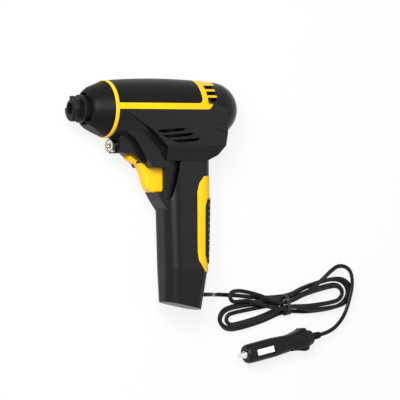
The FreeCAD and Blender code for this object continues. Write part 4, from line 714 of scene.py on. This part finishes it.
class INFLATOR_OT_works(bpy.types.Operator):
    """Gives the motor, gears, pump, switches, board and fasteners inside their finishes"""
    bl_idname = "inflator.works"
    bl_label = "Works"

    def execute(self, context):
        dress(machined("bright_steel", (0.62, 0.62, 0.64), roughness=0.26), "casing_screws", "pump_screws",
              "motor_shaft", "gear_axle", "wrist_pin", "crank_pin", "trigger_spring", "lamp_button_spring",
              "check_valve_spring", "reed_valve", "plug_tip_spring")
        dress(machined("motor_steel", (0.5, 0.5, 0.52), roughness=0.4), "motor_can", "armature")
        # Every moulded finish here carries a painted highlight along its edges
        dress(moulded("ferrite_black", (0.03, 0.03, 0.032), roughness=0.6, grain_size=0.3 * MM,
                      grain_depth=0.00008, edge_width=0.2 * MM), "motor_magnets")
        dress(machined("cut_brass", (0.76, 0.55, 0.22), roughness=0.28), "pinion", "motor_bushes",
              "check_valve_ball")
        dress(machined("cast_aluminium", (0.7, 0.71, 0.73), roughness=0.45, line_scale=1400.0,
                       stretch=(1, 1, 1)), "cylinder", "cylinder_head", "piston", "connecting_rod",
              "pump_frame", "air_tube")
        dress(moulded("acetal_black", (0.008, 0.008, 0.009), roughness=0.45, grain_size=0.6 * MM,
                      grain_depth=0.00002, edge_width=0.2 * MM, edge_highlight_gain=1.6, Specular_IOR_Level=0.08),
              "drive_gear")
        dress(moulded("nylon_grey", (0.02, 0.02, 0.022), roughness=0.5, grain_size=0.4 * MM,
                      grain_depth=0.00004, edge_width=0.3 * MM, Specular_IOR_Level=0.1),
              "trigger_switch", "lamp_switch", "motor_end_cap", "cooling_fan", "cable_clamp", "valve_cap")
        dress(moulded("board_green", (0.01, 0.09, 0.035), roughness=0.35, grain_size=0.8 * MM,
                      grain_depth=0.00003, edge_width=0.2 * MM, edge_highlight_gain=1.6), "circuit_board")
        return {"FINISHED"}


# Distance within which a spring's doubled points are merged
MERGE_DISTANCE = 0.001 * MM

# Each return spring with the joint that presses it, that joint's travel in millimetres, and the way it moves
SPRINGS = [("trigger_spring", "trigger_squeeze", 5.0, (1.0, 0.0, 0.0)),
           ("lamp_button_spring", "lamp_button_press", 1.4, (0.5707711, 0.8210747, -0.0075328)),
           ("check_valve_spring", "check_ball_lift", 1.5, (-1.0, 0.0, 0.0)),
           ("plug_tip_spring", "plug_tip_press", 3.0, (0.9768593, 0.2138829, 0.0))]


class INFLATOR_OT_springs(bpy.types.Operator):
    """Makes the four return springs from the CAD springs, with their doubled points merged"""
    bl_idname = "inflator.springs"
    bl_label = "Return springs"

    def execute(self, context):
        for node, joint, travel, way in SPRINGS:
            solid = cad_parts[node]
            shape = bmesh.new()
            shape.from_mesh(solid.data)
            shape.transform(solid.matrix_world)
            bmesh.ops.remove_doubles(shape, verts=shape.verts, dist=MERGE_DISTANCE)
            mesh = bpy.data.meshes.new(node)
            shape.to_mesh(mesh)
            shape.free()
            mesh.materials.clear()
            mesh.materials.append(bpy.data.materials["bright_steel"])
            piece = finished_piece(node.replace("spring", "coil"), mesh)
            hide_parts(node)
            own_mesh(piece)
        return {"FINISHED"}


class INFLATOR_OT_plug(bpy.types.Operator):
    """Gives the plug its moulded housing, nickel contacts and soft strain relief"""
    bl_idname = "inflator.plug"
    bl_label = "Plug"

    def execute(self, context):
        # The plug's and the relief's edges carry a painted highlight, set by their edge gains
        dress(moulded("plug_black", (0.008, 0.008, 0.009), roughness=0.4, grain_size=0.6 * MM,
                      grain_depth=0.00005, edge_width=0.4 * MM, edge_highlight_gain=3.5, Specular_IOR_Level=0.14),
              "plug_body", "plug_ring")
        dress(machined("nickel_plate", (0.84, 0.83, 0.8), roughness=0.18, line_scale=500.0,
                       stretch=(1, 6, 1)), "plug_tip", "plug_contact_upper", "plug_contact_lower")
        dress(moulded("relief_rubber", (0.007, 0.007, 0.008), roughness=0.5, grain_size=0.4 * MM,
                      grain_depth=0.00003, edge_width=0.3 * MM, edge_highlight_gain=3.0, Specular_IOR_Level=0.12),
              "plug_strain_relief")
        return {"FINISHED"}


# Stage, in metres

VIEW_CENTRE = Vector((57.6, -5.9, 32.7)) * MM
CLIP_START, CLIP_END = 0.05, 50.0
LIGHT_DISTANCE = 1.4
KEY_LEFT, KEY_UP = math.radians(6), math.radians(18)  # turn of the key light from the camera's line
FILL_WAY, FILL_SIZE = Vector((0.55, 0.05, 0.85)), (0.35, 0.5)
TABLE_HALF, TABLE_GLOW = 6.0, 0.85  # half its width, and how much of it shows as plain white


class INFLATOR_OT_stage(bpy.types.Operator):
    """Makes the white table, the surround, the soft lights and the camera"""
    bl_idname = "inflator.stage"
    bl_label = "Table, lights and camera"

    def execute(self, context):
        stage = context.scene.inflator_stage
        context.scene.view_settings.view_transform = "Standard"
        towards = Vector((-math.sin(stage.view_angle), 0, math.cos(stage.view_angle)))
        camera = bpy.data.objects.new("camera", bpy.data.cameras.new("camera"))
        context.scene.collection.objects.link(camera)
        camera.data.lens = camera.data.sensor_width * stage.distance / stage.view_width
        camera.data.clip_start, camera.data.clip_end = CLIP_START, CLIP_END
        side = Vector((0, 1, 0)).cross(towards).normalized()
        turn = Matrix((side, towards.cross(side), towards)).transposed()
        camera.matrix_world = Matrix.Translation(VIEW_CENTRE + towards * stage.distance) @ turn.to_4x4()
        context.scene.camera = camera
        self.floor()
        self.surround(context, stage.surround)
        beside = towards - side * math.tan(KEY_LEFT) + Vector((0, math.tan(KEY_UP), 0))
        self.soft_light("key", beside, (stage.key_size, stage.key_size), stage.key_power)
        self.soft_light("fill", FILL_WAY, FILL_SIZE, stage.fill_power)
        return {"FINISHED"}

    def soft_light(self, name, way, size, power):
        """A rectangular light on the given side of the object, facing its middle."""
        light = bpy.data.lights.new(name, "AREA")
        light.shape = "RECTANGLE"
        light.size, light.size_y = size
        light.energy = power
        holder = bpy.data.objects.new(name, light)
        bpy.context.scene.collection.objects.link(holder)
        way = way.normalized()
        side = Vector((0, 1, 0)).cross(way).normalized()
        turn = Matrix((side, way.cross(side), way)).transposed()
        holder.matrix_world = Matrix.Translation(VIEW_CENTRE + way * LIGHT_DISTANCE) @ turn.to_4x4()

    def seen(self, nodes, links):
        """1 for rays from the camera, a mirror or glass, and 0 for those that light the object."""
        path = nodes.new("ShaderNodeLightPath")
        last = path.outputs["Is Camera Ray"]
        for name in ("Is Glossy Ray", "Is Transmission Ray"):
            either = nodes.new("ShaderNodeMath")
            either.operation = "MAXIMUM"
            links.new(last, either.inputs[0])
            links.new(path.outputs[name], either.inputs[1])
            last = either.outputs[0]
        return last

    def floor(self):
        """The white table, which keeps the object's shadow."""
        half = TABLE_HALF
        mesh = bpy.data.meshes.new("table_top")
        corners = [(-half, -half, 0), (half, -half, 0), (half, half, 0), (-half, half, 0)]
        mesh.from_pydata(corners, [], [(0, 1, 2, 3)])
        top = bpy.data.objects.new("table_top", mesh)
        bpy.context.scene.collection.objects.link(top)
        work = Shades("table_white", Roughness=0.9, Specular_IOR_Level=0.1)
        cloud = work.noise(scale=3.0, detail=2.0)
        work.set(Base_Color=work.mix(cloud, (0.86, 0.86, 0.86, 1), (0.88, 0.88, 0.88, 1)))
        glow = work.add("Emission", Strength=1.0)
        mix = work.nodes.new("ShaderNodeMixShader")
        share = work.math("MULTIPLY", self.seen(work.nodes, work.links), TABLE_GLOW)
        for value, socket in zip((share, work.shader.outputs[0], glow.outputs[0]), mix.inputs):
            work.links.new(value, socket)
        work.links.new(mix.outputs[0], work.nodes["Material Output"].inputs["Surface"])
        mesh.materials.append(work.material)

    def surround(self, context, level):
        """White where it is seen, and a soft light of the given level where it lights the object."""
        world = bpy.data.worlds.new("white_surround")
        context.scene.world = world
        world.use_nodes = True
        nodes, links = world.node_tree.nodes, world.node_tree.links
        light = nodes["Background"]
        light.inputs["Color"].default_value = (1, 1, 1, 1)
        light.inputs["Strength"].default_value = level
        shown = nodes.new("ShaderNodeBackground")
        shown.inputs["Color"].default_value = (1, 1, 1, 1)
        shown.inputs["Strength"].default_value = 1.0
        mix = nodes.new("ShaderNodeMixShader")
        for value, socket in zip((self.seen(nodes, links), light.outputs[0], shown.outputs[0]), mix.inputs):
            links.new(value, socket)
        links.new(mix.outputs[0], nodes["World Output"].inputs["Surface"])


class INFLATOR_PT_panel(bpy.types.Panel):
    """Lists the settings and the pieces of the inflator"""
    bl_idname = "INFLATOR_PT_panel"
    bl_label = "Tire inflator"
    bl_space_type = "VIEW_3D"
    bl_region_type = "UI"
    bl_category = "Inflator"

    def draw(self, context):
        for heading, group, operators in PANEL_ROWS:
            box = self.layout.box()
            box.label(text=heading)
            settings = getattr(context.scene, group)
            for name in settings.__annotations__:
                box.prop(settings, name)
            for operator in operators:
                box.operator(operator)


PANEL_ROWS = [
    ("Finish", "inflator_finish", ("inflator.casing", "inflator.trim", "inflator.lamp", "inflator.works",
                                   "inflator.springs", "inflator.plug")),
    ("Lead", "inflator_lead", ("inflator.lead", "inflator.tie")),
    ("Screws", "inflator_screws", ("inflator.screws",)),
    ("Stage", "inflator_stage", ("inflator.stage",)),
]
SETTINGS = {"inflator_finish": InflatorFinish, "inflator_lead": InflatorLead,
            "inflator_screws": InflatorScrews, "inflator_stage": InflatorStage}
CLASSES = [*SETTINGS.values(), INFLATOR_OT_lead, INFLATOR_OT_tie, INFLATOR_OT_screws, INFLATOR_OT_casing,
           INFLATOR_OT_trim, INFLATOR_OT_lamp, INFLATOR_OT_works, INFLATOR_OT_springs, INFLATOR_OT_plug,
           INFLATOR_OT_stage, INFLATOR_PT_panel]


def register():
    for item in CLASSES:
        bpy.utils.register_class(item)
    for name, group in SETTINGS.items():
        setattr(bpy.types.Scene, name, PointerProperty(type=group))


def unregister():
    for name in SETTINGS:
        delattr(bpy.types.Scene, name)
    for item in reversed(CLASSES):
        bpy.utils.unregister_class(item)


def main():
    register()
    bpy.ops.inflator.stage()
    bpy.ops.inflator.lead()
    bpy.ops.inflator.tie()
    bpy.ops.inflator.works()
    bpy.ops.inflator.springs()
    bpy.ops.inflator.casing()
    bpy.ops.inflator.trim()
    bpy.ops.inflator.lamp()
    bpy.ops.inflator.plug()
    bpy.ops.inflator.screws()


if __name__ == "__main__":
    main()
